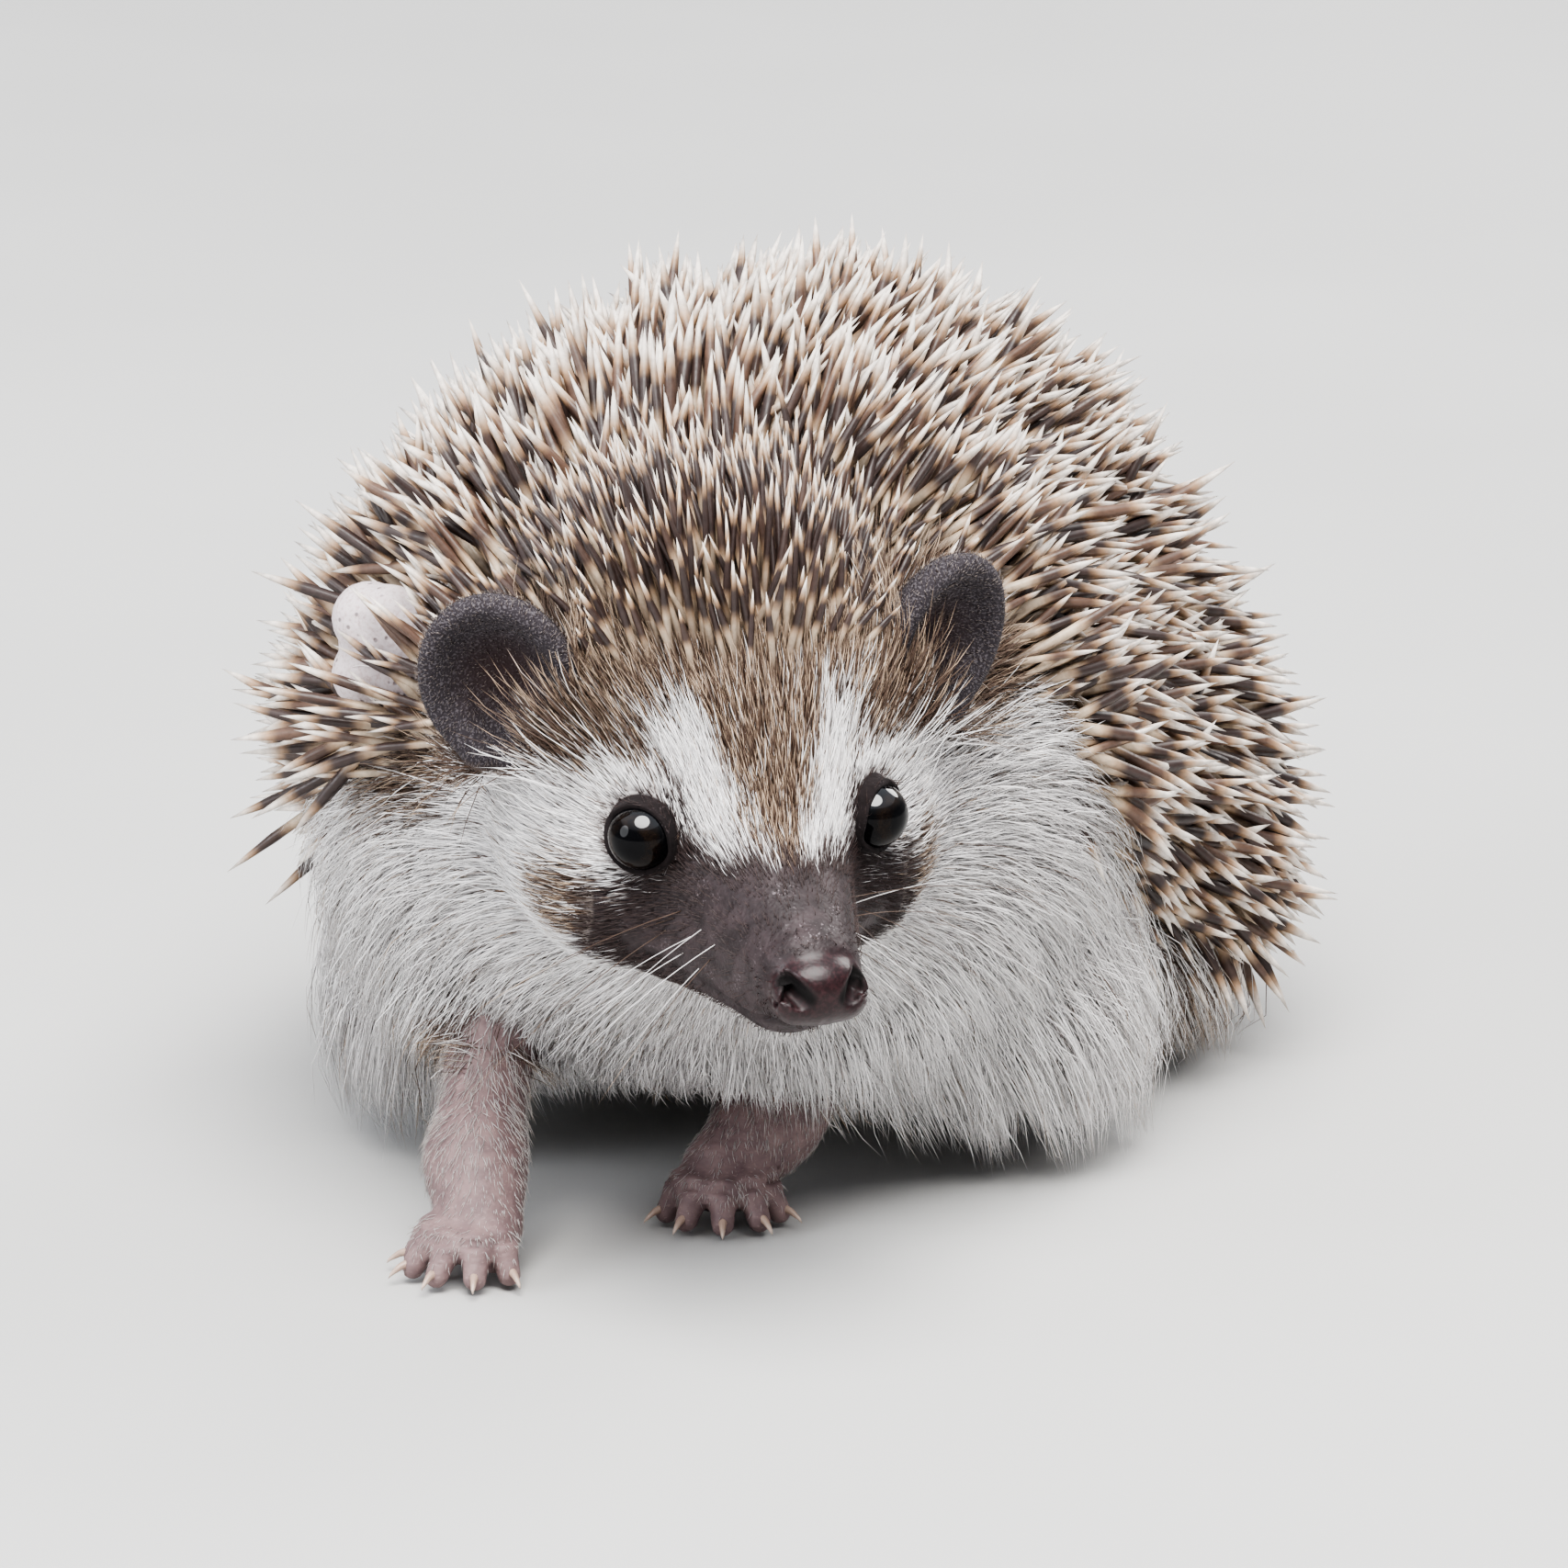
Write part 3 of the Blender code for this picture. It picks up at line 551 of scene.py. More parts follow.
def slope_of(field, points, reach=0.05):
    """The field's slope at each point."""
    return np.stack([field(points + d) - field(points - d) for d in np.eye(3) * reach], -1) / (2 * reach)


def settle(field, points, rounds, limit):
    """Points slid along the slope of the field onto the surface."""
    for _ in range(rounds):
        value = field(points)
        slope = slope_of(field, points)
        steep = np.maximum(np.einsum("ij,ij->i", slope, slope), 0.2)
        points = points - slope * np.clip(value / steep, -limit, limit)[:, None]
    return points


def mesh_from(name, points, corners, starts):
    """A smooth mesh in the part's frame from points in millimetres and its faces' corners."""
    mesh = bpy.data.meshes.new(name)
    mesh.vertices.add(len(points))
    mesh.vertices.foreach_set("co", ((points + HOME) * MM).astype(np.float32).ravel())
    mesh.loops.add(len(corners))
    mesh.loops.foreach_set("vertex_index", corners.astype(np.int32))
    mesh.polygons.add(len(starts))
    mesh.polygons.foreach_set("loop_start", starts.astype(np.int32))
    mesh.update(calc_edges=True)
    mesh.validate()
    return mesh


def mesh_of(name, points, faces):
    """The same from lists of each face's points."""
    corners = np.array([i for face in faces for i in face])
    starts = np.cumsum([0] + [len(face) for face in faces[:-1]])
    return mesh_from(name, points, corners, starts)


def note(mesh, name, values):
    """Keeps one number for each point of a mesh, for its material."""
    kept = mesh.attributes.new(name, "FLOAT", "POINT")
    kept.data.foreach_set("value", np.asarray(values, np.float32))


def fetched(items, key, width, kind=np.float32):
    """One row of numbers for each item of a mesh."""
    found = np.empty(len(items) * width, kind)
    items.foreach_get(key, found)
    return found.reshape(-1, width)


def piece(name, mesh, material):
    """Puts a finished mesh in the scene as a piece of the animal."""
    found = bpy.data.objects.new(name, mesh)
    bpy.context.scene.collection.objects.link(found)
    mesh.materials.append(material)
    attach(found, "root")
    return found


# ---------------------------------------------------------------- roots of the coat
class Ground:
    """The skin as triangles that hair and quills can be rooted on."""

    def __init__(self):
        found = bpy.data.objects.get("skin")
        if found is None:
            raise RuntimeError("Make the skin first: the coat grows from it")
        mesh = found.data
        mesh.calc_loop_triangles()
        self.points = fetched(mesh.vertices, "co", 3).astype(float) / MM - HOME
        self.normals = fetched(mesh.vertices, "normal", 3).astype(float)
        self.corners = fetched(mesh.loop_triangles, "vertices", 3, np.int32)
        a, b, c = (self.points[self.corners[:, i]] for i in range(3))
        self.middle = (a + b + c) / 3
        self.area = size_of(np.cross(b - a, c - a)) / 2
        self.marks = {}
        for name in ("face", "bare", "pale", "nose", "ear", "leg", "scar", "spiny"):
            kept = fetched(mesh.attributes[name].data, "value", 1).ravel()
            self.marks[name] = kept[self.corners].mean(1).astype(float)

    def scatter(self, density, rng):
        """Roots with so many to the square millimetre on each triangle, and their normals."""
        wanted = density * self.area
        count = np.floor(wanted + rng.random(len(wanted))).astype(int)
        face = np.repeat(np.arange(len(wanted)), count)
        share = rng.random((len(face), 2))
        over = share.sum(1) > 1
        share[over] = 1 - share[over]
        weight = np.stack([share[:, 0], share[:, 1], 1 - share.sum(1)], -1)
        at = self.corners[face]
        roots = np.einsum("ij,ijk->ik", weight, self.points[at])
        normals = unit(np.einsum("ij,ijk->ik", weight, self.normals[at]))
        return roots, normals, face


def spaced(points, gaps):
    """Which points to keep so that none stands nearer to another than its gap."""
    size = gaps.max()
    cells, kept = {}, []
    for i, (x, y, z) in enumerate(points):
        key = (int(x // size), int(y // size), int(z // size))
        limit = gaps[i] ** 2
        clear = True
        for a in (-1, 0, 1):
            for b in (-1, 0, 1):
                for c in (-1, 0, 1):
                    for p, q, r in cells.get((key[0] + a, key[1] + b, key[2] + c), ()):
                        if (x - p) ** 2 + (y - q) ** 2 + (z - r) ** 2 < limit:
                            clear = False
        if clear:
            cells.setdefault(key, []).append((x, y, z))
            kept.append(i)
    return np.array(kept, int)


# ---------------------------------------------------------------- the lie of the coat
def lie(points, normals):
    """The way the coat lies: away from the nose on the head, and back and down along the body."""
    seen = in_head(points)
    from_nose = unit(points - head(0, 9, -5)) - 0.7 * ramp(seen[:, 1], 5, 9)[:, None] * HEAD_AXES[1]
    far = ramp(size_of(seen), 26, 62)
    droop = 0.55 * ramp(points[:, 2], 60, 35) + 0.5 * ramp(points[:, 2], 38, 22)
    back = np.array([0, 1.0, 0]) + DOWN * droop[:, None]
    wide = np.abs(points[:, 0] + 2) / 36
    outward = np.stack([np.sign(points[:, 0] + 2) * 0.35 * wide, wide * 0, wide * 0], -1)
    way = from_nose * (1 - far)[:, None] + (back + outward) * far[:, None]
    for side in (1, -1):
        gap = points - eye_at(side)
        near = np.exp(-(size_of(gap) - EYE_RADIUS) / 2.4)
        way = way + across(gap, normals) * (near * 0.8)[:, None]
        gap = points - ear_frame(side)[0]
        near = np.exp(-np.clip(size_of(gap) - 8, 0, 60) / 3)
        way = way + across(gap, normals) * (near * 0.35)[:, None]
    return across(way, normals)


def comb(roots, normals, way, length, lift, sag, ceiling, stations, rng, wander=0.1):
    """Centre lines of strands that leave the skin at a lift, bend over and follow it."""
    step = (length / (stations - 1))[:, None]
    ceiling = ceiling + 4 * np.clip(torso(roots), 0, None)
    along = way * np.cos(lift)[:, None] + normals * np.sin(lift)[:, None]
    place = roots - normals * 0.25
    line = [place]
    for i in range(1, stations):
        share = i / (stations - 1)
        place = place + along * step
        height = torso(place)
        slope = unit(slope_of(torso, place, 0.2))
        low = 0.15 + 0.25 * share
        high = ceiling * (0.4 + 0.6 * share)
        place = place + slope * (np.clip(height, low, np.maximum(high, low)) - height)[:, None]
        pull = np.einsum("ij,ij->i", along, slope)[:, None]
        along = along - slope * np.clip(pull, 0, None) * 0.45
        stray = rng.normal(size=along.shape) * wander
        along = unit(along + DOWN * (sag / stations)[:, None] + stray)
        line.append(place)
    line = np.stack(line, 1)
    line[:, :, 2] = np.maximum(line[:, :, 2], 0.4)
    return line


def gathered(line, rng, every, pull):
    """Strands drawn towards a neighbour's tip, so that they end in locks."""
    guides = rng.permutation(len(line))[:max(1, len(line) // every)]
    nearest = []
    for block in np.array_split(line[:, 0], len(line) // 2000 + 1):
        gap = block[:, None, :] - line[guides, 0][None, :, :]
        nearest.append(np.einsum("ijk,ijk->ij", gap, gap).argmin(1))
    leader = line[guides[np.concatenate(nearest)]]
    share = np.linspace(0, 1, line.shape[1])[None, :, None] ** 1.5
    return line + (leader - line) * share * pull[:, None, None]


# ---------------------------------------------------------------- strands as solid mesh
def unwrapped(points):
    """Places of points on the skin unrolled round the body: how far round and how far back."""
    seen = in_head(points)
    on_head = ramp(size_of(seen), 46, 38)[:, None]
    round_head = np.stack([np.arctan2(seen[:, 0], seen[:, 2] + 6), -seen[:, 1] / 24], -1)
    round_body = np.stack([np.arctan2(points[:, 0] + 2, points[:, 2] - 30), points[:, 1] / 24 + 3.4], -1)
    return round_head * on_head + round_body * (1 - on_head)


def patches(roots):
    """A patch of the map for each root, at its place on the unrolled skin.

    The map is evened out, first across and then along, so that no patch lies on another.
    """
    place = unwrapped(roots)
    count = len(roots)
    columns = int(np.ceil(np.sqrt(count)))
    order = np.argsort(place[:, 0], kind="stable")
    column = np.empty(count, int)
    column[order] = np.arange(count) // columns
    found = np.empty((count, 2))
    for number in range(columns):
        members = np.flatnonzero(column == number)
        row = np.empty(len(members))
        row[np.argsort(place[members, 1], kind="stable")] = np.arange(len(members))
        found[members, 0] = (number + 0.5) / columns
        found[members, 1] = (row + 0.5) / max(columns, len(members))
    return np.clip(found - PATCH / 2, 0, 1 - PATCH)


def strands(name, line, radius, sides, notes):
    """One mesh of tapering closed strands round centre lines, with their map and notes."""
    count, stations = line.shape[:2]
    rings = stations - 1
    along = unit(np.gradient(line, axis=1))
    start = np.where(np.abs(along[:, :1, 2:]) > 0.8, np.array([1.0, 0, 0]), np.array([0, 0, 1.0]))
    one = unit(np.cross(along, np.broadcast_to(start, along.shape)))
    two = np.cross(along, one)
    turn = np.arange(sides) * 2 * pi / sides
    spokes = one[:, :rings, None, :] * np.cos(turn)[:, None]
    spokes = spokes + two[:, :rings, None, :] * np.sin(turn)[:, None]
    ring = line[:, :rings, None, :] + spokes * radius[:, :rings, None, None]
    points = np.concatenate([ring.reshape(count, -1, 3), line[:, -1:, :]], 1)
    each = rings * sides + 1

    k, j = np.meshgrid(np.arange(rings - 1), np.arange(sides), indexing="ij")
    k, j = k.ravel(), j.ravel()
    nxt = (j + 1) % sides
    quads = np.stack([k * sides + j, k * sides + nxt, (k + 1) * sides + nxt, (k + 1) * sides + j], -1)
    j = np.arange(sides)
    last = (rings - 1) * sides
    tips = np.stack([last + j, last + (j + 1) % sides, np.full(sides, each - 1)], -1)
    cap = np.arange(sides)[::-1]
    corners = np.concatenate([quads.ravel(), tips.ravel(), cap])
    sizes = np.concatenate([np.full(len(quads), 4), np.full(sides, 3), [sides]])
    starts = np.concatenate([[0], np.cumsum(sizes)[:-1]])

    flat = np.tile(np.arange(sides), (rings - 1, 1)).ravel() / sides
    wide = 1 / sides
    rows = np.repeat(np.arange(rings - 1), sides) / rings
    high = 1 / rings
    quad_map = np.stack([np.stack([flat, rows], -1), np.stack([flat + wide, rows], -1),
                         np.stack([flat + wide, rows + high], -1), np.stack([flat, rows + high], -1)], 1)
    flat = np.arange(sides) / sides
    top = np.full(sides, 1 - high)
    tip_map = np.stack([np.stack([flat, top], -1), np.stack([flat + wide, top], -1),
                        np.stack([flat + wide / 2, np.ones(sides)], -1)], 1)
    cap_map = np.stack([np.arange(sides)[::-1] / sides, np.zeros(sides) + 0.02], -1)
    patch = np.concatenate([quad_map.reshape(-1, 2), tip_map.reshape(-1, 2), cap_map]) * PATCH

    all_corners = (corners[None] + (np.arange(count) * each)[:, None]).ravel()
    all_starts = (starts[None] + (np.arange(count) * len(corners))[:, None]).ravel()
    mesh = mesh_from(name, points.reshape(-1, 3), all_corners, all_starts)
    places = (patches(line[:, 0])[:, None, :] + patch[None]).astype(np.float32)
    mesh.uv_layers.new(name="OFBake").data.foreach_set("uv", places.ravel())
    share = np.concatenate([np.repeat(np.linspace(0, 1, stations)[:rings], sides), [1.0]])
    note(mesh, "along", np.tile(share, count))
    for key, values in notes.items():
        note(mesh, key, np.repeat(values, each))
    return mesh


def shared_out(count, limit):
    """Slices that divide so many strands evenly among pieces of at most so many."""
    pieces = int(np.ceil(count / limit))
    edges = np.linspace(0, count, pieces + 1).astype(int)
    return [slice(a, b) for a, b in zip(edges[:-1], edges[1:])]


# ---------------------------------------------------------------- materials
# Painted shade: near black put deep in the nostrils and, more lightly, on the eyes' rims.
PIT_SHADE = (0.002, 0.001, 0.001, 1)        # deep in a nostril


class Tree:
    """Adds nodes to one node tree and links them."""

    def __init__(self, tree):
        self.tree = tree

    def fill(self, node, sockets):
        """Links each named or numbered socket to another's output, or sets it to a value."""
        for key, value in sockets.items():
            if isinstance(value, bpy.types.NodeSocket):
                self.tree.links.new(value, node.inputs[key])
            else:
                node.inputs[key].default_value = value

    def node(self, kind, sockets, **settings):
        found = self.tree.nodes.new(kind)
        for key, value in settings.items():
            setattr(found, key, value)
        self.fill(found, sockets)
        return found

    def attribute(self, name):
        return self.node("ShaderNodeAttribute", {}, attribute_name=name).outputs["Fac"]

    def mix(self, share, a, b, blend="MIX"):
        sockets = {0: share, 6: a, 7: b}
        return self.node("ShaderNodeMix", sockets, data_type="RGBA", blend_type=blend).outputs[2]

    def maths(self, operation, *values):
        return self.node("ShaderNodeMath", dict(enumerate(values)), operation=operation).outputs[0]

    def times(self, a, b):
        return self.maths("MULTIPLY", a, b)

    def plus(self, a, b):
        return self.maths("ADD", a, b)

    def less(self, a, b):
        return self.maths("SUBTRACT", a, b)

    def times_plus(self, a, b, c):
        return self.maths("MULTIPLY_ADD", a, b, c)

    def spread(self, value, low, high, start=0.0, end=1.0):
        """The value carried from one range to another, with soft ends."""
        sockets = {"Value": value, "From Min": low, "From Max": high, "To Min": start, "To Max": end}
        return self.node("ShaderNodeMapRange", sockets, interpolation_type="SMOOTHSTEP").outputs[0]

    def place(self, stretch=(1, 1, 1)):
        at = self.node("ShaderNodeTexCoord", {}).outputs["Object"]
        return self.node("ShaderNodeMapping", {"Vector": at, "Scale": stretch}).outputs[0]

    def noise(self, per_metre, detail):
        sockets = {"Vector": self.place(), "Scale": per_metre, "Detail": detail, "Roughness": 0.55}
        return self.node("ShaderNodeTexNoise", sockets).outputs["Fac"]

    def cells(self, per_metre, feature="F1"):
        sockets = {"Vector": self.place(), "Scale": per_metre}
        return self.node("ShaderNodeTexVoronoi", sockets, feature=feature).outputs["Distance"]

    def group(self, tree, **values):
        return self.node("ShaderNodeGroup", values, node_tree=tree)

    def relief(self, height, strength, depth):
        sockets = {"Strength": strength, "Distance": depth * MM, "Height": height}
        return self.node("ShaderNodeBump", sockets).outputs[0]

    def shaded(self, colour, shade):
        """A colour times a brightness."""
        grey = self.node("ShaderNodeCombineColor", {0: shade, 1: shade, 2: shade})
        return self.mix(1.0, colour, grey.outputs[0], "MULTIPLY")


def new_group(name, inputs, outputs):
    """The helper for a new node group, its inputs' sockets and its output node."""
    tree = bpy.data.node_groups.new(name, "ShaderNodeTree")
    for label, kind in inputs:
        tree.interface.new_socket(label, in_out="INPUT", socket_type="NodeSocket" + kind)
    for label, kind in outputs:
        tree.interface.new_socket(label, in_out="OUTPUT", socket_type="NodeSocket" + kind)
    return Tree(tree), tree.nodes.new("NodeGroupInput").outputs, tree.nodes.new("NodeGroupOutput")


def coat_colours():
    """Group: a hair's colour from where it grows, how far along it is and its own tone, with white hair
    darker towards its root, partly a cream tint and partly painted shade.
    """
    if "Coat Colours" in bpy.data.node_groups:
        return bpy.data.node_groups["Coat Colours"]
    inputs = (("Pale", "Float"), ("Bare", "Float"), ("Along", "Float"), ("Tone", "Float"),
              ("White", "Color"), ("Brown", "Color"), ("Cream", "Color"), ("Muzzle", "Color"))
    t, given, made = new_group("Coat Colours", inputs, (("Colour", "Color"),))
    tip = t.spread(t.plus(given["Along"], t.times(given["Tone"], 0.3)), 0.72, 1.08)
    brown = t.mix(tip, given["Brown"], given["Cream"])
    # White hair darkens towards its root: partly a cream tint of the deeper hair, partly painted shade of
    # the coat's depth.
    root = t.mix(0.24, given["White"], given["Brown"])
    white = t.mix(t.spread(given["Along"], 0.0, 0.5), root, given["White"])
    colour = t.mix(given["Pale"], brown, white)
    fading = t.times_plus(given["Bare"], 1.7, t.times(given["Along"], -0.85))
    colour = t.mix(t.spread(fading, 0.0, 0.9), colour, given["Muzzle"])
    t.fill(made, {"Colour": t.shaded(colour, t.times_plus(given["Tone"], 0.28, 0.78))})
    return t.tree


def fine_grain():
    """Group: pores, wrinkles and flecks at a scale, as a height and a mask of flecks."""
    if "Fine Grain" in bpy.data.node_groups:
        return bpy.data.node_groups["Fine Grain"]
    inputs = (("Vector", "Vector"), ("Scale", "Float"), ("Flecks", "Float"))
    t, given, made = new_group("Fine Grain", inputs, (("Height", "Float"), ("Fleck", "Float")))

    def at_scale(factor, **more):
        return {"Vector": given["Vector"], "Scale": t.times(given["Scale"], factor), **more}

    pores = t.node("ShaderNodeTexVoronoi", at_scale(1.0), feature="SMOOTH_F1").outputs["Distance"]
    lines = t.node("ShaderNodeTexNoise", at_scale(0.6, Detail=5.0)).outputs["Fac"]
    flecks = t.node("ShaderNodeTexNoise", at_scale(1.4, Detail=2.0)).outputs["Fac"]
    limit = t.less(1.0, given["Flecks"])
    t.fill(made, {
        "Height": t.plus(pores, t.times(lines, 0.9)),
        "Fleck": t.spread(flecks, limit, t.plus(limit, 0.08)),
    })
    return t.tree


def new_material(name, roughness, specular=0.5):
    """A material, the helper for its nodes and its Principled shader."""
    found = bpy.data.materials.new(name)
    found.use_nodes = True
    t = Tree(found.node_tree)
    shader = found.node_tree.nodes["Principled BSDF"]
    t.fill(shader, {"Roughness": roughness, "Specular IOR Level": specular})
    return found, t, shader


def skin_material(sizes):
    """Skin that is dark on the muzzle and ears, moist on the nose and pink on the legs, with painted shade
    in the nostrils, on the eyes' rims and under the white fur.
    """
    found, t, shader = new_material("Skin", 0.5, 0.33)
    names = ("bare", "pale", "nose", "ear", "hollow", "leg", "scar", "pit", "spiny")
    mark = {name: t.attribute(name) for name in names}
    patchy = t.noise(420, 4)
    fine = t.noise(2600, 3)
    # Under the white fur the skin takes the darker root of white hair, partly a cream tint and partly
    # painted shade.
    coat = t.group(coat_colours(), Pale=mark["pale"], Bare=0.0, Along=0.25, Tone=patchy,
                   White=sizes.under_white, Brown=sizes.under_brown,
                   Cream=sizes.under_brown, Muzzle=sizes.muzzle).outputs[0]
    coat = t.mix(mark["spiny"], coat, sizes.under_quills)

    pores = t.group(fine_grain(), Vector=t.place(), Scale=2600.0, Flecks=0.41)
    muzzle = t.mix(t.spread(patchy, 0.35, 0.7), sizes.muzzle, sizes.muzzle_light)
    dry = t.times(t.spread(t.noise(300, 2), 0.5, 0.68), 0.6)
    muzzle = t.mix(t.times(pores.outputs["Fleck"], dry), muzzle, sizes.flake)
    colour = t.mix(t.spread(mark["bare"], 0.0, 0.45), coat, muzzle)

    scales = t.group(fine_grain(), Vector=t.place((1, 1, 1.6)), Scale=1500.0, Flecks=0.4)
    leg = t.mix(t.spread(patchy, 0.3, 0.7), sizes.leg, sizes.leg_dark)
    leg = t.mix(t.times(scales.outputs["Fleck"], 0.45), leg, sizes.leg_light)
    colour = t.mix(mark["leg"], colour, leg)

    velvet = t.group(fine_grain(), Vector=t.place(), Scale=3400.0, Flecks=0.47)
    ear = t.mix(t.times(velvet.outputs["Fleck"], 0.5), sizes.ear, sizes.ear_velvet)
    ear = t.mix(t.times(mark["hollow"], 0.8), ear, sizes.ear_hollow)
    colour = t.mix(mark["ear"], colour, ear)
    dots = t.less(1.0, t.spread(t.cells(900), 0.1, 0.26))
    bald = t.mix(t.spread(fine, 0.45, 0.75), sizes.scar, sizes.scar_pink)
    bald = t.mix(t.times(dots, 0.7), bald, sizes.scar_dots)
    colour = t.mix(mark["scar"], colour, bald)
    nose = t.mix(t.spread(fine, 0.4, 0.7), sizes.nose, sizes.nose_light)
    colour = t.mix(mark["nose"], colour, nose)
    # Painted shade: the nostrils and the eyes' rims are darkened by the pit mark.
    colour = t.mix(mark["pit"], colour, PIT_SHADE)

    rough = t.spread(mark["ear"], 0, 1, 0.52, 0.85)
    rough = t.less(rough, t.times(mark["nose"], 0.21))
    rough = t.plus(rough, t.times(fine, 0.08))
    rough = t.plus(rough, t.times(mark["pit"], 0.6))

    deep = t.times(mark["ear"], velvet.outputs["Height"])
    deep = t.times_plus(mark["leg"], scales.outputs["Height"], deep)
    deep = t.times_plus(mark["bare"], pores.outputs["Height"], deep)
    lumps = t.times_plus(t.noise(500, 3), 4.0, t.times(dots, -1.5))
    deep = t.times_plus(mark["scar"], lumps, deep)
    wet = t.times(mark["nose"], t.times(t.cells(2900, "SMOOTH_F1"), 0.22))
    dull = t.times(deep, t.less(1.0, mark["nose"]))
    relief = t.relief(t.plus(dull, wet), 0.6, 0.12)
    t.fill(shader, {"Base Color": colour, "Roughness": rough, "Normal": relief})
    return found


def fur_material(name, sizes, roughness=0.55):
    """Hair whose colour comes from its place, its length and its own tone."""
    found, t, shader = new_material(name, roughness, 0.35)
    tone = t.attribute("tone")
    colour = t.group(coat_colours(), Pale=t.attribute("pale"), Bare=t.attribute("bare"),
                     Along=t.attribute("along"), Tone=tone, White=sizes.white, Brown=sizes.brown,
                     Cream=sizes.cream, Muzzle=sizes.muzzle).outputs[0]
    rough = t.spread(tone, 0, 1, roughness - 0.08, roughness + 0.1)
    t.fill(shader, {"Base Color": colour, "Roughness": rough})
    return found


def quill_material(sizes):
    """Cream quills with a dark band and a white tip, tan where the two meet, with painted shade darkening
    each down to the skin.
    """
    found, t, shader = new_material("Quill", 0.42, 0.45)
    along, tone, band = t.attribute("along"), t.attribute("tone"), t.attribute("band")
    tip = t.less(1.0, t.attribute("tip"))
    low = t.less(tip, band)
    dark = t.spread(along, t.less(low, 0.1), t.plus(low, 0.05))
    light = t.spread(along, t.less(tip, 0.03), t.plus(tip, 0.14))
    # Painted shade: the shaft darkens down to the skin, over more of its length on the crown.
    reach = t.times_plus(t.attribute("crown"), 0.2, 0.5)
    shaft = t.mix(t.spread(along, 0.0, reach), sizes.root, sizes.shaft)
    browner = t.less(tone, t.times(t.attribute("crown"), 0.35))
    warm = t.mix(t.spread(browner, 0.35, 1.0), sizes.dark, sizes.dark_warm)
    near_low = t.spread(along, t.less(low, 0.12), t.less(low, 0.02))
    shaft = t.mix(t.times(near_low, 0.7), shaft, sizes.tan)
    colour = t.mix(dark, shaft, warm)
    ring = t.spread(along, t.less(tip, 0.09), t.plus(tip, 0.01))
    colour = t.mix(t.times(ring, 0.75), colour, sizes.tan)
    colour = t.mix(light, colour, sizes.tip_colour)
    stain = t.spread(t.noise(1500, 3), 0.35, 0.75, 1.0, 0.72)
    shade = t.times(stain, t.spread(tone, 0, 1, 0.86, 1.06))
    rough = t.spread(t.noise(2600, 2), 0.3, 0.7, 0.34, 0.52)
    t.fill(shader, {"Base Color": t.shaded(colour, shade), "Roughness": rough})
    return found


def eye_material():
    """A near-black eye with a brown iris that is only just told from its pupil."""
    found, t, shader = new_material("Eye", 0.03, 0.08)
    threads = t.noise(1800, 4)
    iris = t.mix(t.spread(threads, 0.3, 0.7), (0.003, 0.002, 0.002, 1), (0.010, 0.006, 0.004, 1))
    upper = t.spread(t.attribute("upper"), 0.7, 0.86)
    t.fill(shader, {
        "Base Color": t.mix(t.attribute("iris"), (0.002, 0.002, 0.0025, 1), iris),
        "Coat Weight": t.times_plus(upper, 0.94, 0.06),
        "Coat IOR": 1.58,
        "Coat Roughness": 0.02,
    })
    return found


def claw_material():
    """Pale horn, darker along its core and at its root, with fine lengthwise lines."""
    found, t, shader = new_material("Claw", 0.35, 0.5)
    along = t.attribute("along")
    colour = t.mix(t.spread(along, 0.0, 0.45), (0.20, 0.11, 0.085, 1), (0.42, 0.30, 0.24, 1))
    colour = t.mix(t.spread(along, 0.6, 1.0), colour, (0.62, 0.50, 0.42, 1))
    lines = t.noise(3000, 3)
    colour = t.mix(t.times(lines, 0.4), colour, (0.16, 0.09, 0.07, 1))
    t.fill(shader, {"Base Color": colour, "Normal": t.relief(lines, 0.4, 0.06)})
    return found


# ---------------------------------------------------------------- settings
def a_length(label, text, default):
    return bpy.props.FloatProperty(
        name=label, description=text, default=default, min=0.0, unit="LENGTH", precision=5)


def an_angle(label, text, default):
    return bpy.props.FloatProperty(name=label, description=text, default=radians(default), subtype="ANGLE")


def a_share(label, text, default):
    return bpy.props.FloatProperty(
        name=label, description=text, default=default, min=0.0, max=1.0, subtype="FACTOR")


def an_amount(label, text, default):
    return bpy.props.FloatProperty(name=label, description=text, default=default, min=0.0, subtype="NONE")


def a_colour(label, text, default):
    return bpy.props.FloatVectorProperty(
        name=label, description=text, default=(*default, 1.0), size=4, min=0.0, max=1.0, subtype="COLOR")


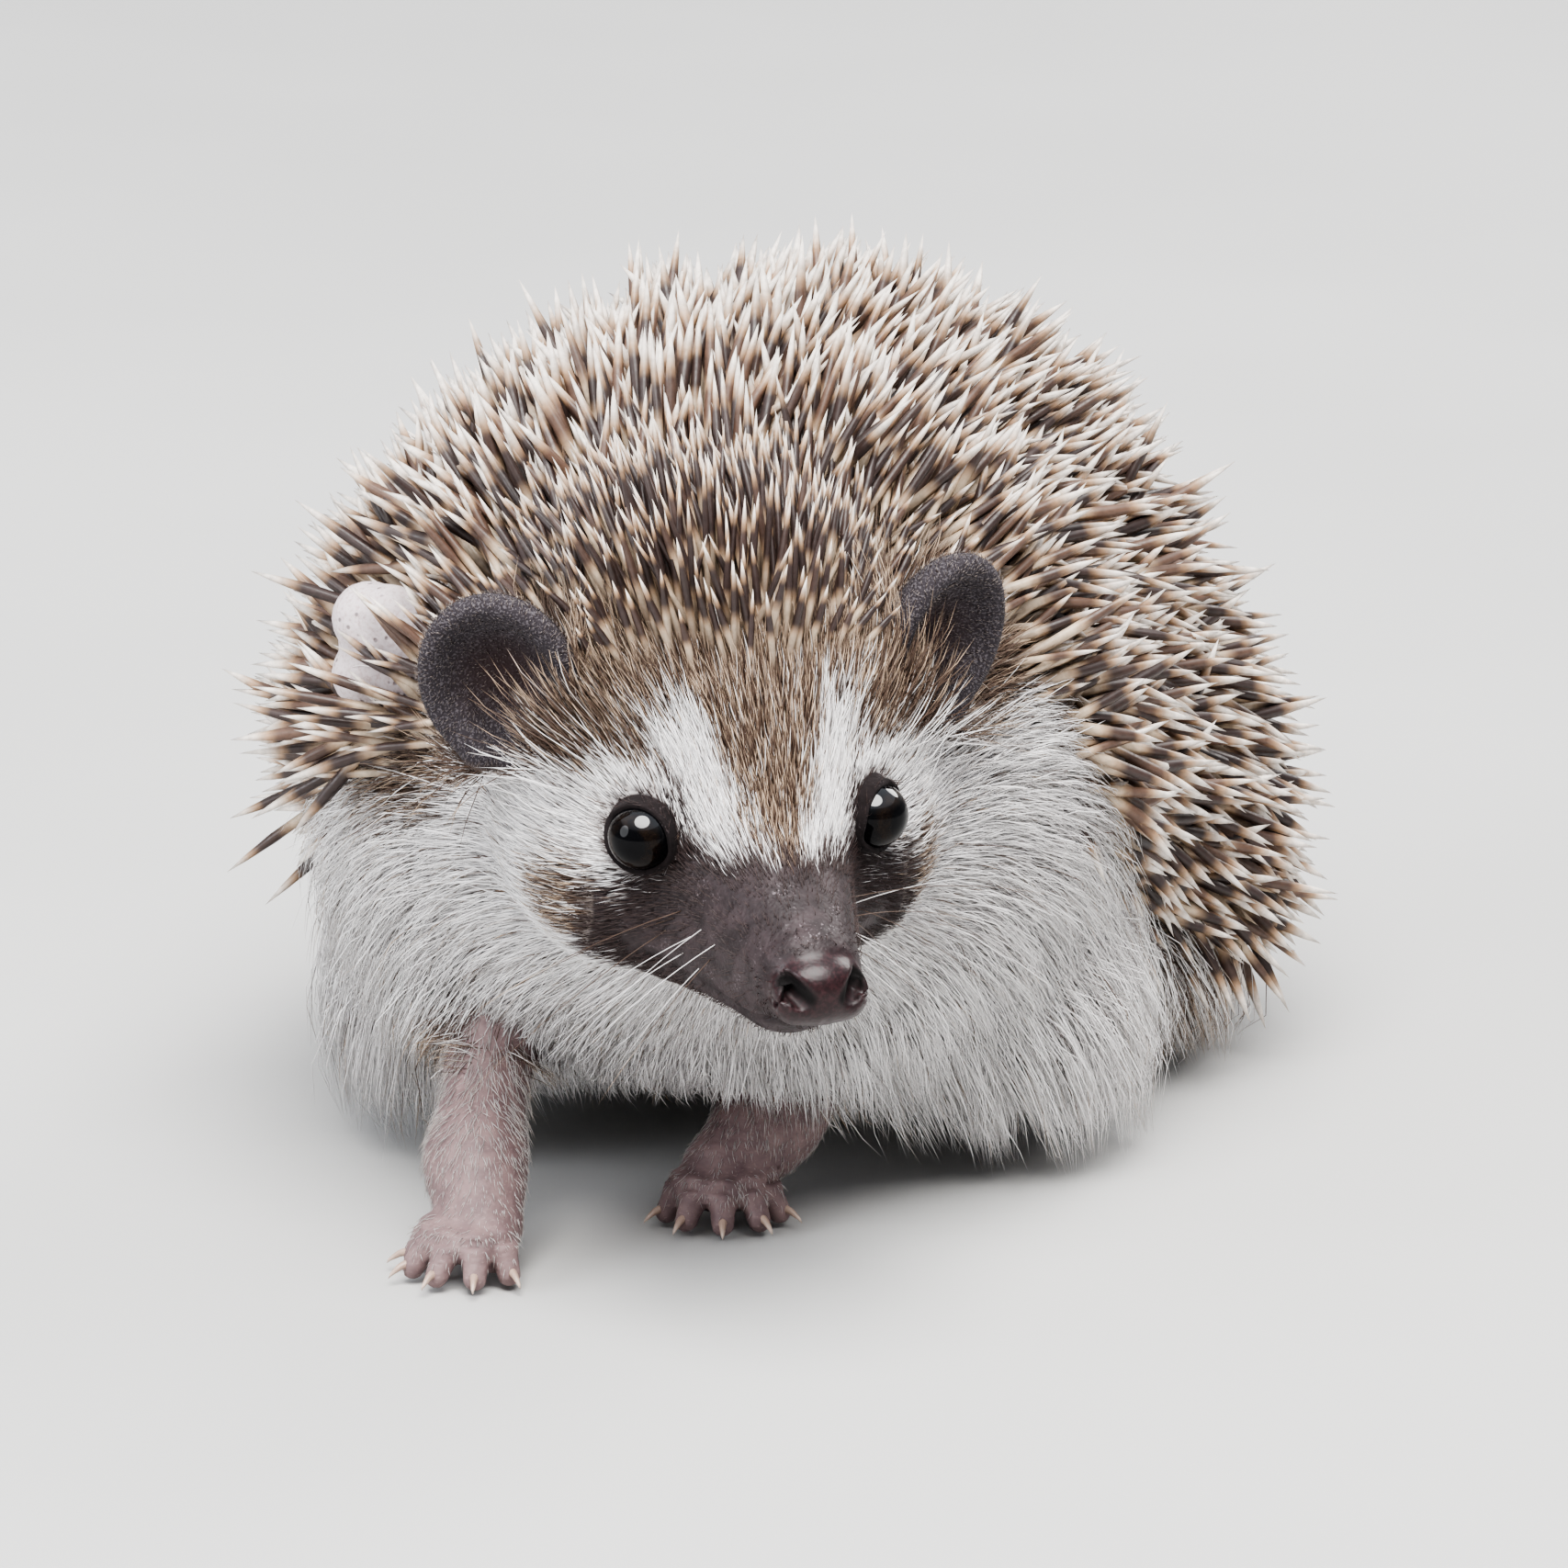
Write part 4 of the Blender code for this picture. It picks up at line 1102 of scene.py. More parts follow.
class SkinSettings(bpy.types.PropertyGroup):
    """Sizes and colours of the bare skin."""
    step: a_length("Mesh step", "Distance between the skin's points where it is coarsest", 0.00104)
    under_white: a_colour("Under white fur", "Skin and wool below the white fur", (0.74, 0.69, 0.67))
    under_brown: a_colour("Under brown hair", "Skin and wool below the brown hair", (0.17, 0.115, 0.08))
    under_quills: a_colour("Under quills", "Skin between the quills", (0.10, 0.07, 0.055))
    muzzle: a_colour("Muzzle", "Skin of the muzzle and round the eyes", (0.016, 0.0095, 0.0105))
    muzzle_light: a_colour("Muzzle, lighter", "Lighter patches of the muzzle", (0.038, 0.025, 0.027))
    flake: a_colour("Flakes", "Dry pale flecks on the muzzle", (0.26, 0.215, 0.23))
    leg: a_colour("Legs", "Skin of the legs and feet", (0.215, 0.145, 0.142))
    leg_dark: a_colour("Legs, darker", "Darker patches of the legs", (0.135, 0.088, 0.09))
    leg_light: a_colour("Legs, scales", "Pale edges of the small scales on the legs", (0.285, 0.205, 0.20))
    ear: a_colour("Ears", "Skin of the ears", (0.026, 0.021, 0.025))
    ear_velvet: a_colour("Ear velvet", "Pale velvet that stipples the ears", (0.15, 0.135, 0.147))
    ear_hollow: a_colour("Ear hollow", "Skin deep in the ears", (0.028, 0.014, 0.014))
    scar: a_colour("Bare patch", "Pale bare skin among the quills", (0.6, 0.53, 0.54))
    scar_pink: a_colour("Bare patch, pink", "Pinker blotches of the bare patch", (0.46, 0.36, 0.36))
    scar_dots: a_colour("Bare patch, dots", "Roots of lost quills on the bare patch", (0.10, 0.075, 0.075))
    nose: a_colour("Nose", "Moist skin of the nose", (0.013, 0.0045, 0.0055))
    nose_light: a_colour("Nose, lighter", "Lighter patches of the nose", (0.03, 0.010, 0.012))


class QuillSettings(bpy.types.PropertyGroup):
    """Sizes, stance and colours of the quills."""
    gap: a_length("Spacing", "Least distance between the roots of two quills", 0.00125)
    back_length: a_length("Length on the back", "Length of the quills of the back", 0.0165)
    crown_length: a_length("Length on the crown", "Length of the quills of the crown", 0.0145)
    thickness: a_length("Thickness", "Diameter of a full-grown quill", 0.00128)
    lift: an_angle("Lift on the back", "How steeply the quills of the back stand off the skin", 43)
    crown_lift: an_angle("Lift on the crown", "How steeply the quills of the crown stand off the skin", 40)
    stray: an_amount("Stray", "How far quills lean out of line, as a share of their length", 0.32)
    tip: a_share("White tip", "Share of a quill that is white at its tip", 0.235)
    band: a_share("Dark band", "Share of a quill that the dark band takes", 0.28)
    tip_colour: a_colour("Tip", "White end of a quill", (0.82, 0.745, 0.675))
    tan: a_colour("Tan", "Where white and dark meet", (0.46, 0.29, 0.17))
    dark: a_colour("Band", "Dark band of a quill", (0.04, 0.024, 0.021))
    dark_warm: a_colour("Band, warmer", "Dark band of a browner quill", (0.125, 0.072, 0.05))
    shaft: a_colour("Shaft", "Cream shaft below the band", (0.62, 0.49, 0.36))
    # Painted shade: the colour the shaft darkens to near the skin.
    root: a_colour("Root", "Shaft near the skin", (0.15, 0.10, 0.075))


class FurSettings(bpy.types.PropertyGroup):
    """Density, length and colours of the fur."""
    face_density: an_amount("Face density", "Hairs on each square millimetre of the face", 13.0)
    body_density: an_amount("Body density", "Hairs on each square millimetre of the body", 5.9)
    face_length: a_length("Face length", "Length of the hair of the cheeks", 0.0058)
    body_length: a_length("Body length", "Length of the hair of the flanks", 0.0145)
    thickness: a_length("Thickness", "Diameter of a lock of the body's fur", 0.000108)
    face_thickness: a_length("Face thickness", "Diameter of a lock of the face's fur", 0.00012)
    down_thickness: a_length("Down thickness", "Diameter of a hair of the legs and ears", 0.000084)
    white: a_colour("White", "White fur", (0.93, 0.905, 0.90))
    brown: a_colour("Brown", "Brown hair", (0.088, 0.053, 0.037))
    cream: a_colour("Cream", "Tips of the brown hair", (0.5, 0.37, 0.265))
    muzzle: a_colour("Muzzle", "Short dark hair of the muzzle", (0.045, 0.028, 0.026))


class StageSettings(bpy.types.PropertyGroup):
    """Where the camera stands and how strong the lamps are."""
    azimuth: an_angle("Azimuth", "How far the camera stands round to the animal's left", 20)
    elevation: an_angle("Elevation", "How far the camera looks down", 15)
    distance: a_length("Distance", "From the camera to what it looks at", 1.0)
    focal: an_amount("Focal length", "Focal length for a sensor 36 mm wide", 232.0)
    key: an_amount("Key lamp", "Power of the soft lamp above, in watts", 50.0)
    fill: an_amount("Fill lamp", "Power of the lamp in front, in watts", 13.0)
    sky: an_amount("Sky", "Strength of the light from all round", 1.1)
    floor: a_colour("Floor", "Colour of the floor", (0.51, 0.505, 0.495))


# ---------------------------------------------------------------- pieces
CAMERA_AIM = (1.09, 7.0, 32.8)               # in millimetres of the part's frame
LAMP_AIM = (0, 0, 0.04)                      # in metres
FLESH = (
    "head", "snout", "lower_jaw", "nose", "ear_left", "ear_right", "throat", "neck", "crown", "chest",
    "belly", "mantle_front", "mantle_middle", "mantle_rear", "flank_rear", "rump", "tail", "foreleg_left",
    "foreleg_right", "forefoot_left", "forefoot_right", "hindfoot_left", "hindfoot_right",
)


def refined(mesh_points, faces, wanted):
    """Points and faces after each wanted face is split in four."""
    work = bmesh.new()
    verts = [work.verts.new(point) for point in mesh_points]
    made = [work.faces.new([verts[i] for i in face]) for face in faces]
    edges = {edge for face, take in zip(made, wanted) if take for edge in face.edges}
    bmesh.ops.subdivide_edges(work, edges=list(edges), cuts=1, use_grid_fill=True)
    work.verts.index_update()
    points = np.array([vertex.co for vertex in work.verts])
    found = [[vertex.index for vertex in face.verts] for face in work.faces]
    work.free()
    return points, found


def middles(points, faces):
    return np.array([points[face].mean(0) for face in faces])


class HEDGEHOG_OT_skin(bpy.types.Operator):
    """One skin from nose to tail, with lids, nostrils, ears, legs and toes"""
    bl_idname = "hedgehog.skin"
    bl_label = "Skin"

    def execute(self, context):
        sizes = context.scene.hedgehog_skin
        step = sizes.step / MM
        points, quads = surface(skin, (-56, -94, -4), (56, 80, 90), step)
        faces = quads.tolist()
        at = points[quads].mean(1)
        seen = in_head(at)
        detail = (seen[:, 1] > -9) & (size_of(seen) < 30) | (from_ear(at) < 12)
        detail |= (at[:, 2] < 20) & (marked(at)["leg"] > 0)
        points, faces = refined(points, faces, detail)
        points = settle(skin, points, 3, step / 2)
        at = middles(points, faces)
        seen = in_head(at)
        detail = (from_eye(at) < 5.4) | (seen[:, 1] > 16.5) & (size_of(seen) < 34)
        points, faces = refined(points, faces, detail)
        points = settle(skin, points, 3, step / 4)
        points, faces = refined(points, faces, np.abs(from_eye(middles(points, faces)) - 3.2) < 0.75)
        points = settle(skin, points, 3, step / 8)
        points[:, 2] = np.maximum(points[:, 2], 0)
        mesh = mesh_of("skin", points, faces)
        for name, values in marked(points).items():
            note(mesh, name, values)
        found = piece("skin", mesh, skin_material(sizes))
        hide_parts(*FLESH)
        context.view_layer.objects.active = found
        found.select_set(True)
        bpy.ops.object.mode_set(mode="EDIT")
        bpy.ops.mesh.select_all(action="SELECT")
        bpy.ops.uv.smart_project(angle_limit=radians(66), island_margin=0.003)
        bpy.ops.object.mode_set(mode="OBJECT")
        mesh.uv_layers[0].name = "OFBake"
        return {"FINISHED"}


class HEDGEHOG_OT_quills(bpy.types.Operator):
    """Banded quills over the crown, back and rump"""
    bl_idname = "hedgehog.quills"
    bl_label = "Quills"

    def execute(self, context):
        sizes = context.scene.hedgehog_quills
        rng = np.random.default_rng(11)
        ground = Ground()
        density = np.where(ground.marks["spiny"] > 0.02, 3.6, 0.0) * ramp(from_ear(ground.middle), 9, 11)
        roots, normals = ground.scatter(density, rng)[:2]
        roots, normals = taken(rng.permutation(len(roots)), roots, normals)
        spiny = quilled(roots)
        seen = in_head(roots)
        crown = ramp(seen[:, 1], -40, -20) * ramp(-size_of(seen), -46, -34)
        keep = spaced(roots, sizes.gap / MM * (1.03 - 0.37 * crown))
        roots, normals, spiny, crown = taken(keep, roots, normals, spiny, crown)
        chance = ramp(spiny + 0.3 * crown, 0.2, 0.7)
        over_scar = size_of(roots - SCAR_AT - (3, -5, 4)) < SCAR_REACH + 2
        on_tail = torso(roots) > 1.0
        keep = rng.random(len(roots)) < chance * (1 - 0.85 * over_scar) * (1 - on_tail)
        roots, normals, spiny, crown = taken(keep, roots, normals, spiny, crown)
        roots, normals, spiny, crown = taken(np.argsort(roots[:, 1]), roots, normals, spiny, crown)
        count = len(roots)
        edge = (1 - ramp(spiny, 0.4, 1.0)) * (1 - crown)
        size = sizes.back_length / MM * (1 - crown) + sizes.crown_length / MM * crown
        size = size * rng.uniform(0.8, 1.1, count) * (1 - 0.22 * edge)
        size = size * (1 - 0.3 * ramp(-from_ear(roots), -15, -10))
        front = crown * (1 - ramp(spiny, 0.2, 1.0))
        broad = ramp(roots[:, 0], 14, 28)
        size = size * (1 - 0.3 * front) * (1 - 0.1 * broad)
        lift = sizes.lift * (1 - crown) + sizes.crown_lift * crown
        lift = lift * (1 - 0.35 * edge) * (1 - 0.28 * broad) + rng.normal(size=count) * 0.11 + 0.12 * front
        stray = (sizes.stray * (1 - 0.45 * crown))[:, None]
        way = strayed(lie(roots, normals), normals, rng, stray)
        along = way * np.cos(lift)[:, None] + normals * np.sin(lift)[:, None]
        along = unit(along + rng.normal(size=along.shape) * stray * 0.5)
        bend = -normals * (0.02 + 0.03 * rng.random(count))[:, None]
        line = roots[:, None, :] - normals[:, None, :] * 0.3
        line = line + along[:, None, :] * (size[:, None] * QUILL_STATIONS)[:, :, None]
        line = line + bend[:, None, :] * (size[:, None] * QUILL_STATIONS ** 2)[:, :, None]
        line[:, :, 2] = np.maximum(line[:, :, 2], 0.5)
        thick = sizes.thickness / MM / 2 * rng.uniform(0.82, 1.1, count)
        thick = thick * (1 - 0.3 * edge) * (1 - 0.4 * crown)
        radius = thick[:, None] * QUILL_WIDTHS
        notes = {
            "tone": rng.random(count),
            "crown": crown,
            "tip": sizes.tip * rng.uniform(0.75, 1.3, count) * (1 + 0.25 * edge) * (1 - 0.35 * crown),
            "band": sizes.band * rng.uniform(0.7, 1.3, count) * (1 - 0.35 * edge) * (1 + 0.2 * crown),
        }
        material = quill_material(sizes)
        share = np.concatenate([np.repeat(QUILL_STATIONS[:-1], QUILL_SIDES), [1.0]])
        for number, part in enumerate(shared_out(count, MOST_QUILLS)):
            chosen = {key: values[part] for key, values in notes.items()}
            mesh = strands(f"quills_{number + 1}", line[part], radius[part], QUILL_SIDES, chosen)
            shares = np.tile(share, part.stop - part.start)
            mesh.attributes["along"].data.foreach_set("value", shares.astype(np.float32))
            piece(mesh.name, mesh, material)
        return {"FINISHED"}


def fur(name, ground, density, seed, make, material, limit=MOST_HAIRS):
    """Roots strands by density, lays them by make and puts them in the scene in equal pieces."""
    rng = np.random.default_rng(seed)
    roots, normals, face = ground.scatter(density, rng)
    marks = {key: values[face] for key, values in ground.marks.items()}
    line, radius, notes = make(roots, normals, marks, rng)
    order = np.argsort(unwrapped(roots)[:, 1], kind="stable")
    for number, part in enumerate(shared_out(len(line), limit)):
        chosen = {key: values[order[part]] for key, values in notes.items()}
        mesh = strands(f"{name}_{number + 1}", *taken(order[part], line, radius), HAIR_SIDES, chosen)
        piece(mesh.name, mesh, material)


def outside(marks, *names):
    """1 where a point has none of the named marks."""
    return np.prod([1 - marks[name] for name in names], axis=0)


def beneath(points):
    """1 on the underside of the belly, 0 on the flanks."""
    return ramp(-points[:, 2], -16, -11) * ramp(-np.abs(points[:, 0] + 2), -30, -22)


def hair_notes(roots, marks, rng, scatter=0.3):
    """Each hair is white or brown by chance, as the markings have it where it grows."""
    pale = ramp(marks["pale"] + rng.normal(size=len(roots)) * scatter, 0.35, 0.65)
    bare = ramp(marks["bare"] + rng.normal(size=len(roots)) * 0.16, 0.05, 0.65)
    return {"pale": pale, "bare": bare, "tone": rng.random(len(roots))}


class HEDGEHOG_OT_face_fur(bpy.types.Operator):
    """Short fur that lies back from the muzzle over the cheeks, brow and throat"""
    bl_idname = "hedgehog.face_fur"
    bl_label = "Face fur"

    def execute(self, context):
        sizes = context.scene.hedgehog_fur
        ground = Ground()
        marks, middle = ground.marks, ground.middle
        seen = in_head(middle)
        clear = ramp(from_eye(middle), 3.5, 3.75) * outside(marks, "nose", "ear", "leg")
        lips = ramp(seen[:, 2], -9.2, -8.2) + ramp(-seen[:, 2], 10.2, 11.2)
        dark = ramp(marks["bare"], 0.5, 1.0) * (0.3 + 0.55 * ramp(seen[:, 1], 2, 9))
        density = sizes.face_density * marks["face"] * clear * (1 - dark) * (1 - marks["spiny"])
        density = density * np.clip(lips + (seen[:, 1] < 2), 0, 1)

        def make(roots, normals, kept, rng):
            seen = in_head(roots)
            count = len(roots)
            back = ramp(-seen[:, 1], -4, 16)
            near = ramp(from_eye(roots), 3.6, 7.5)
            top = ramp(seen[:, 2], 4, 10)
            size = sizes.face_length / MM * (0.55 + 0.75 * back) * (0.45 + 0.55 * near) * (1 + 0.35 * top)
            size = size * rng.uniform(0.65, 1.15, count)
            short = rng.uniform(0.6, 1.3, count) + 0.9 * ramp(-seen[:, 1], -6, 0)
            size = size + (short - size) * ramp(kept["bare"] + rng.normal(size=count) * 0.12, 0.35, 0.95)
            lift = np.radians(16 + 14 * top) + rng.normal(size=count) * 0.12
            way = strayed(lie(roots, normals), normals, rng, 0.13)
            ceiling = (FACE_DEPTH * (0.5 + 0.9 * back) + 2.2 * top) * rng.uniform(0.4, 1.2, count)
            sag = 0.25 * ramp(-seen[:, 2], 4, 12)
            line = comb(roots, normals, way, size, lift, sag, ceiling, 4, rng, 0.05)
            line = gathered(line, rng, 9, 0.3 * rng.random(count) * (size > 2))
            thick = sizes.face_thickness / MM / 2 * rng.uniform(0.7, 1.2, count)
            thick = thick * np.where(kept["bare"] > 0.5, 0.6, 1.0)
            return line, thick[:, None] * FACE_WIDTHS, hair_notes(roots, kept, rng)

        fur("fur_face", ground, density, 21, make, fur_material("Face fur", sizes))
        return {"FINISHED"}


class HEDGEHOG_OT_body_fur(bpy.types.Operator):
    """Long fur of the throat, chest, flanks and belly, hanging in a fringe along the sides"""
    bl_idname = "hedgehog.body_fur"
    bl_label = "Body fur"

    def execute(self, context):
        sizes = context.scene.hedgehog_fur
        ground = Ground()
        marks, middle = ground.marks, ground.middle
        under = beneath(middle)
        density = sizes.body_density * outside(marks, "face", "spiny", "ear", "scar")
        thigh = marks["leg"] * ramp(middle[:, 2], 16, 23)
        density = density * np.maximum(1 - marks["leg"], thigh) * (1 - 0.75 * under)

        def make(roots, normals, kept, rng):
            seen = in_head(roots)
            count = len(roots)
            far = ramp(size_of(seen), 26, 60)
            belly = beneath(roots)
            size = sizes.body_length / MM * (0.6 + 0.4 * far) * (1 - 0.5 * belly)
            wave = np.sin(roots[:, 0] * 0.9 + 2 * np.sin(roots[:, 1] * 0.5))
            wave = wave * np.sin(roots[:, 1] * 0.8 + roots[:, 2] * 0.3)
            size = size * rng.uniform(0.5, 1.2, count) * (1 + 0.22 * wave)
            lift = np.radians(20) + rng.normal(size=count) * 0.14
            way = strayed(lie(roots, normals), normals, rng, 0.14)
            ceiling = FUR_DEPTH * (0.35 + 0.65 * far) * rng.uniform(0.35, 1.15, count) * (1 - 0.6 * belly)
            low = ramp(-roots[:, 2], -44, -24) * ramp(np.abs(roots[:, 0] + 2), 10, 24)
            sag = 0.5 + 0.5 * far + 1.1 * low
            ceiling = ceiling + 9 * low
            size = size * (1 + (0.25 + 0.35 * ramp(roots[:, 1], -10, 20)) * low) * (1 - 0.58 * kept["leg"])
            line = comb(roots, normals, way, size, lift, sag, ceiling, 4, rng, 0.07)
            pull = 0.2 * far + (0.55 + 0.15 * low) * rng.random(count) ** (1 - 0.5 * low)
            line = gathered(line, rng, 20, pull)
            thick = sizes.thickness / MM / 2 * rng.uniform(0.7, 1.2, count) * (1 - 0.35 * kept["leg"])
            return line, thick[:, None] * FUR_WIDTHS, hair_notes(roots, kept, rng, 0.25)

        fur("fur_body", ground, density, 31, make, fur_material("Body fur", sizes, 0.6))
        return {"FINISHED"}


class HEDGEHOG_OT_brow_hair(bpy.types.Operator):
    """Longer brown hair with cream tips before and behind the ears and along the quills' edge"""
    bl_idname = "hedgehog.brow_hair"
    bl_label = "Brow and ear hair"

    def execute(self, context):
        sizes = context.scene.hedgehog_fur
        ground = Ground()
        marks, middle = ground.marks, ground.middle
        seen = in_head(middle)
        border = bump(marks["spiny"], 0.3, 0.35) * (marks["spiny"] > 0.01)
        brow = ramp(seen[:, 2], 5, 8) * ramp(-seen[:, 1], -2, 4) * marks["face"]
        lug = ramp(-from_ear(middle), -16, -10) * ramp(seen[:, 2], -4, 3)
        border = border * ramp(-seen[:, 1], 8, 16)
        brow = 0.8 * brow * (1 - ramp(marks["spiny"], 0.0, 0.5))
        density = 1.9 * np.clip(0.55 * border + brow + lug, 0, 1.2)
        density = density * outside(marks, "ear", "leg", "bare", "scar")

        def make(roots, normals, kept, rng):
            count = len(roots)
            seen = in_head(roots)
            temple = ramp(np.abs(seen[:, 0]), 6, 12)
            size = rng.uniform(5.0, 8.0, count) + 2.6 * temple + 1.2 * ramp(-from_ear(roots), -14, -10)
            by_ear = ramp(-from_ear(roots), -16, -10)
            lift = np.radians(27 + 5 * by_ear) + rng.normal(size=count) * 0.14
            way = strayed(lie(roots, normals), normals, rng, 0.16)
            ceiling = rng.uniform(1.6, 5.0, count) + 1.5 * by_ear
            line = comb(roots, normals, way, size, lift, np.full(count, 0.1), ceiling, 4, rng, 0.04)
            thick = sizes.thickness / MM / 2 * rng.uniform(0.75, 1.25, count)
            return line, thick[:, None] * FUR_WIDTHS, hair_notes(roots, kept, rng, 0.2)

        fur("hair_brow", ground, density, 41, make, fur_material("Brow hair", sizes, 0.5))
        return {"FINISHED"}


class HEDGEHOG_OT_leg_hair(bpy.types.Operator):
    """Sparse pale hair on the legs, feet and tail, and the velvet of the ears"""
    bl_idname = "hedgehog.leg_hair"
    bl_label = "Leg and ear down"

    def execute(self, context):
        sizes = context.scene.hedgehog_fur
        ground = Ground()
        marks, middle = ground.marks, ground.middle
        toe = ramp(middle[:, 2], 2.0, 5.0)
        density = 4.6 * marks["leg"] * toe + 5.0 * marks["ear"]

        def make(roots, normals, kept, rng):
            count = len(roots)
            on_leg = kept["leg"] > kept["ear"]
            size = np.where(on_leg, rng.uniform(1.2, 2.8, count), rng.uniform(0.5, 0.9, count))
            high = ramp(roots[:, 2], 8, 18)
            size = size * np.where(on_leg, 0.55 + 0.9 * high, 1.0)
            lift = np.where(on_leg, np.radians(17), np.radians(40)) + rng.normal(size=count) * 0.15
            ear_way = roots - np.where((in_head(roots)[:, :1] > 0), ear_frame(1)[0], ear_frame(-1)[0])
            way = np.where(on_leg[:, None], DOWN + np.array([0, -0.25, 0]), unit(ear_way))
            way = strayed(way, normals, rng, 0.2)
            along = way * np.cos(lift)[:, None] + normals * np.sin(lift)[:, None]
            shares = np.array([0, 0.5, 1.0])
            line = roots[:, None] - normals[:, None] * 0.1
            line = line + along[:, None] * (size[:, None] * shares)[:, :, None]
            line = line - normals[:, None] * (0.16 * size[:, None] * shares ** 2)[:, :, None]
            line[:, :, 2] = np.maximum(line[:, :, 2], 0.3)
            thick = sizes.down_thickness / MM / 2 * rng.uniform(0.7, 1.2, count)
            pale, bare = np.where(on_leg, 0.45, 0.35), np.where(on_leg, 0.0, 0.65)
            notes = {"pale": pale, "bare": bare, "tone": rng.random(count)}
            return line, thick[:, None] * DOWN_WIDTHS, notes

        fur("down", ground, density, 51, make, fur_material("Down", sizes, 0.6), MOST_DOWN)
        return {"FINISHED"}


class HEDGEHOG_OT_whiskers(bpy.types.Operator):
    """Whiskers on both sides of the muzzle and short ones under the chin"""
    bl_idname = "hedgehog.whiskers"
    bl_label = "Whiskers"

    def execute(self, context):
        sizes = context.scene.hedgehog_fur
        rng = np.random.default_rng(61)
        starts, ways, lengths = [], [], []
        for side in (1, -1):
            for row in range(3):
                for place in range(3):
                    forward = 11.0 - 3.0 * place - 0.9 * row + rng.uniform(-0.6, 0.6)
                    starts.append(head(side * (6.0 + 0.3 * row), forward, -5.4 - 1.8 * row))
                    ways.append(np.array([side * 0.8, -0.1 - 0.2 * place, -0.4 - 0.2 * row]) @ HEAD_AXES)
                    lengths.append(rng.uniform(11, 17) + 5.0 * place)
            for place in range(6):
                starts.append(head(side * (0.8 + 0.7 * place), 14.0 - 2.2 * place, -13.0))
                ways.append(np.array([side * 0.25, -0.5, -0.9]) @ HEAD_AXES)
                lengths.append(3.5 + 2.5 * rng.random())
        starts, ways, lengths = np.array(starts), unit(np.array(ways)), np.array(lengths)
        starts = settle(torso, starts, 6, 2.0)
        ways = unit(ways + rng.normal(size=ways.shape) * 0.2)
        share = np.linspace(0, 1, 9)
        line = starts[:, None] + ways[:, None] * (lengths[:, None] * share)[:, :, None]
        line = line + DOWN * (0.16 * lengths[:, None] * share ** 2)[:, :, None]
        radius = (0.028 + 0.0011 * lengths)[:, None] * (1 - share) ** 0.7
        count = len(starts)
        pale = (rng.random(count) < 0.7).astype(float)
        notes = {"pale": pale, "bare": np.zeros(count), "tone": rng.random(count)}
        mesh = strands("whiskers", line, radius, WHISKER_SIDES, notes)
        piece("whiskers", mesh, fur_material("Whisker", sizes, 0.4))
        return {"FINISHED"}


class HEDGEHOG_OT_eyes(bpy.types.Operator):
    """Two glossy near-black eyes with a slight swell over the iris"""
    bl_idname = "hedgehog.eyes"
    bl_label = "Eyes"

    def execute(self, context):
        material = eye_material()
        for side, word in ((1, "left"), (-1, "right")):
            at, axes = eye_frame(side)
            work = bmesh.new()
            bmesh.ops.create_uvsphere(work, u_segments=48, v_segments=32, radius=1.0)
            points = np.array([vertex.co for vertex in work.verts])
            faces = [[vertex.index for vertex in face.verts] for face in work.faces]
            work.free()
            tilt = np.arccos(np.clip(points[:, 2], -1, 1))
            swell = 1 + EYE_SWELL / EYE_RADIUS * bump(tilt, 0, 0.6)
            local = np.stack([points[:, 2], points[:, 0], points[:, 1]], -1) * swell[:, None]
            placed = at + local @ axes * EYE_RADIUS
            low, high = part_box("eye_" + word)
            middle = (placed.mean(0) + HOME) * MM
            if np.abs(np.array((low + high) / 2) - middle).max() > EYE_RADIUS * MM:
                raise RuntimeError("The eyes don't lie where the frame has them")
            mesh = mesh_of("eyeball_" + word, placed, faces)
            note(mesh, "iris", ramp(tilt, 0.5, 0.62) * ramp(-tilt, -1.05, -0.9))
            note(mesh, "upper", 0.5 + 0.5 * points[:, 1])
            found = piece("eyeball_" + word, mesh, material)
            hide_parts("eye_" + word)
        return {"FINISHED"}


class HEDGEHOG_OT_claws(bpy.types.Operator):
    """Curved claws on all the toes, one piece for each foot"""
    bl_idname = "hedgehog.claws"
    bl_label = "Claws"

    def execute(self, context):
        material = claw_material()
        reach = np.array([-1.2, -0.3, 0.6, 1.4, 2.2, 3.0, 3.7, 4.2])
        known = (-1.2, 0.6, 2.0, 3.6, 4.2)
        rise = np.interp(reach, known, (0.2, 0.45, 0.3, -0.3, -0.75))
        width = np.interp(reach, known, (0.5, 0.46, 0.35, 0.19, 0.0))
        for leg in LEGS:
            foot = leg.replace("leg_", "_")
            line = []
            for toe in toes(leg):
                tip, along = toe[2:]
                line.append(tip + along * CLAW_REACH * reach[:, None] - DOWN * rise[:, None])
            radius = np.tile(width, (len(line), 1))
            mesh = strands("claws_" + foot, np.array(line), radius, CLAW_SIDES, {})
            claws = piece(mesh.name, mesh, material)
            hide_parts(*[f"claw_{foot}_{i + 1}" for i in range(len(line))])
        return {"FINISHED"}


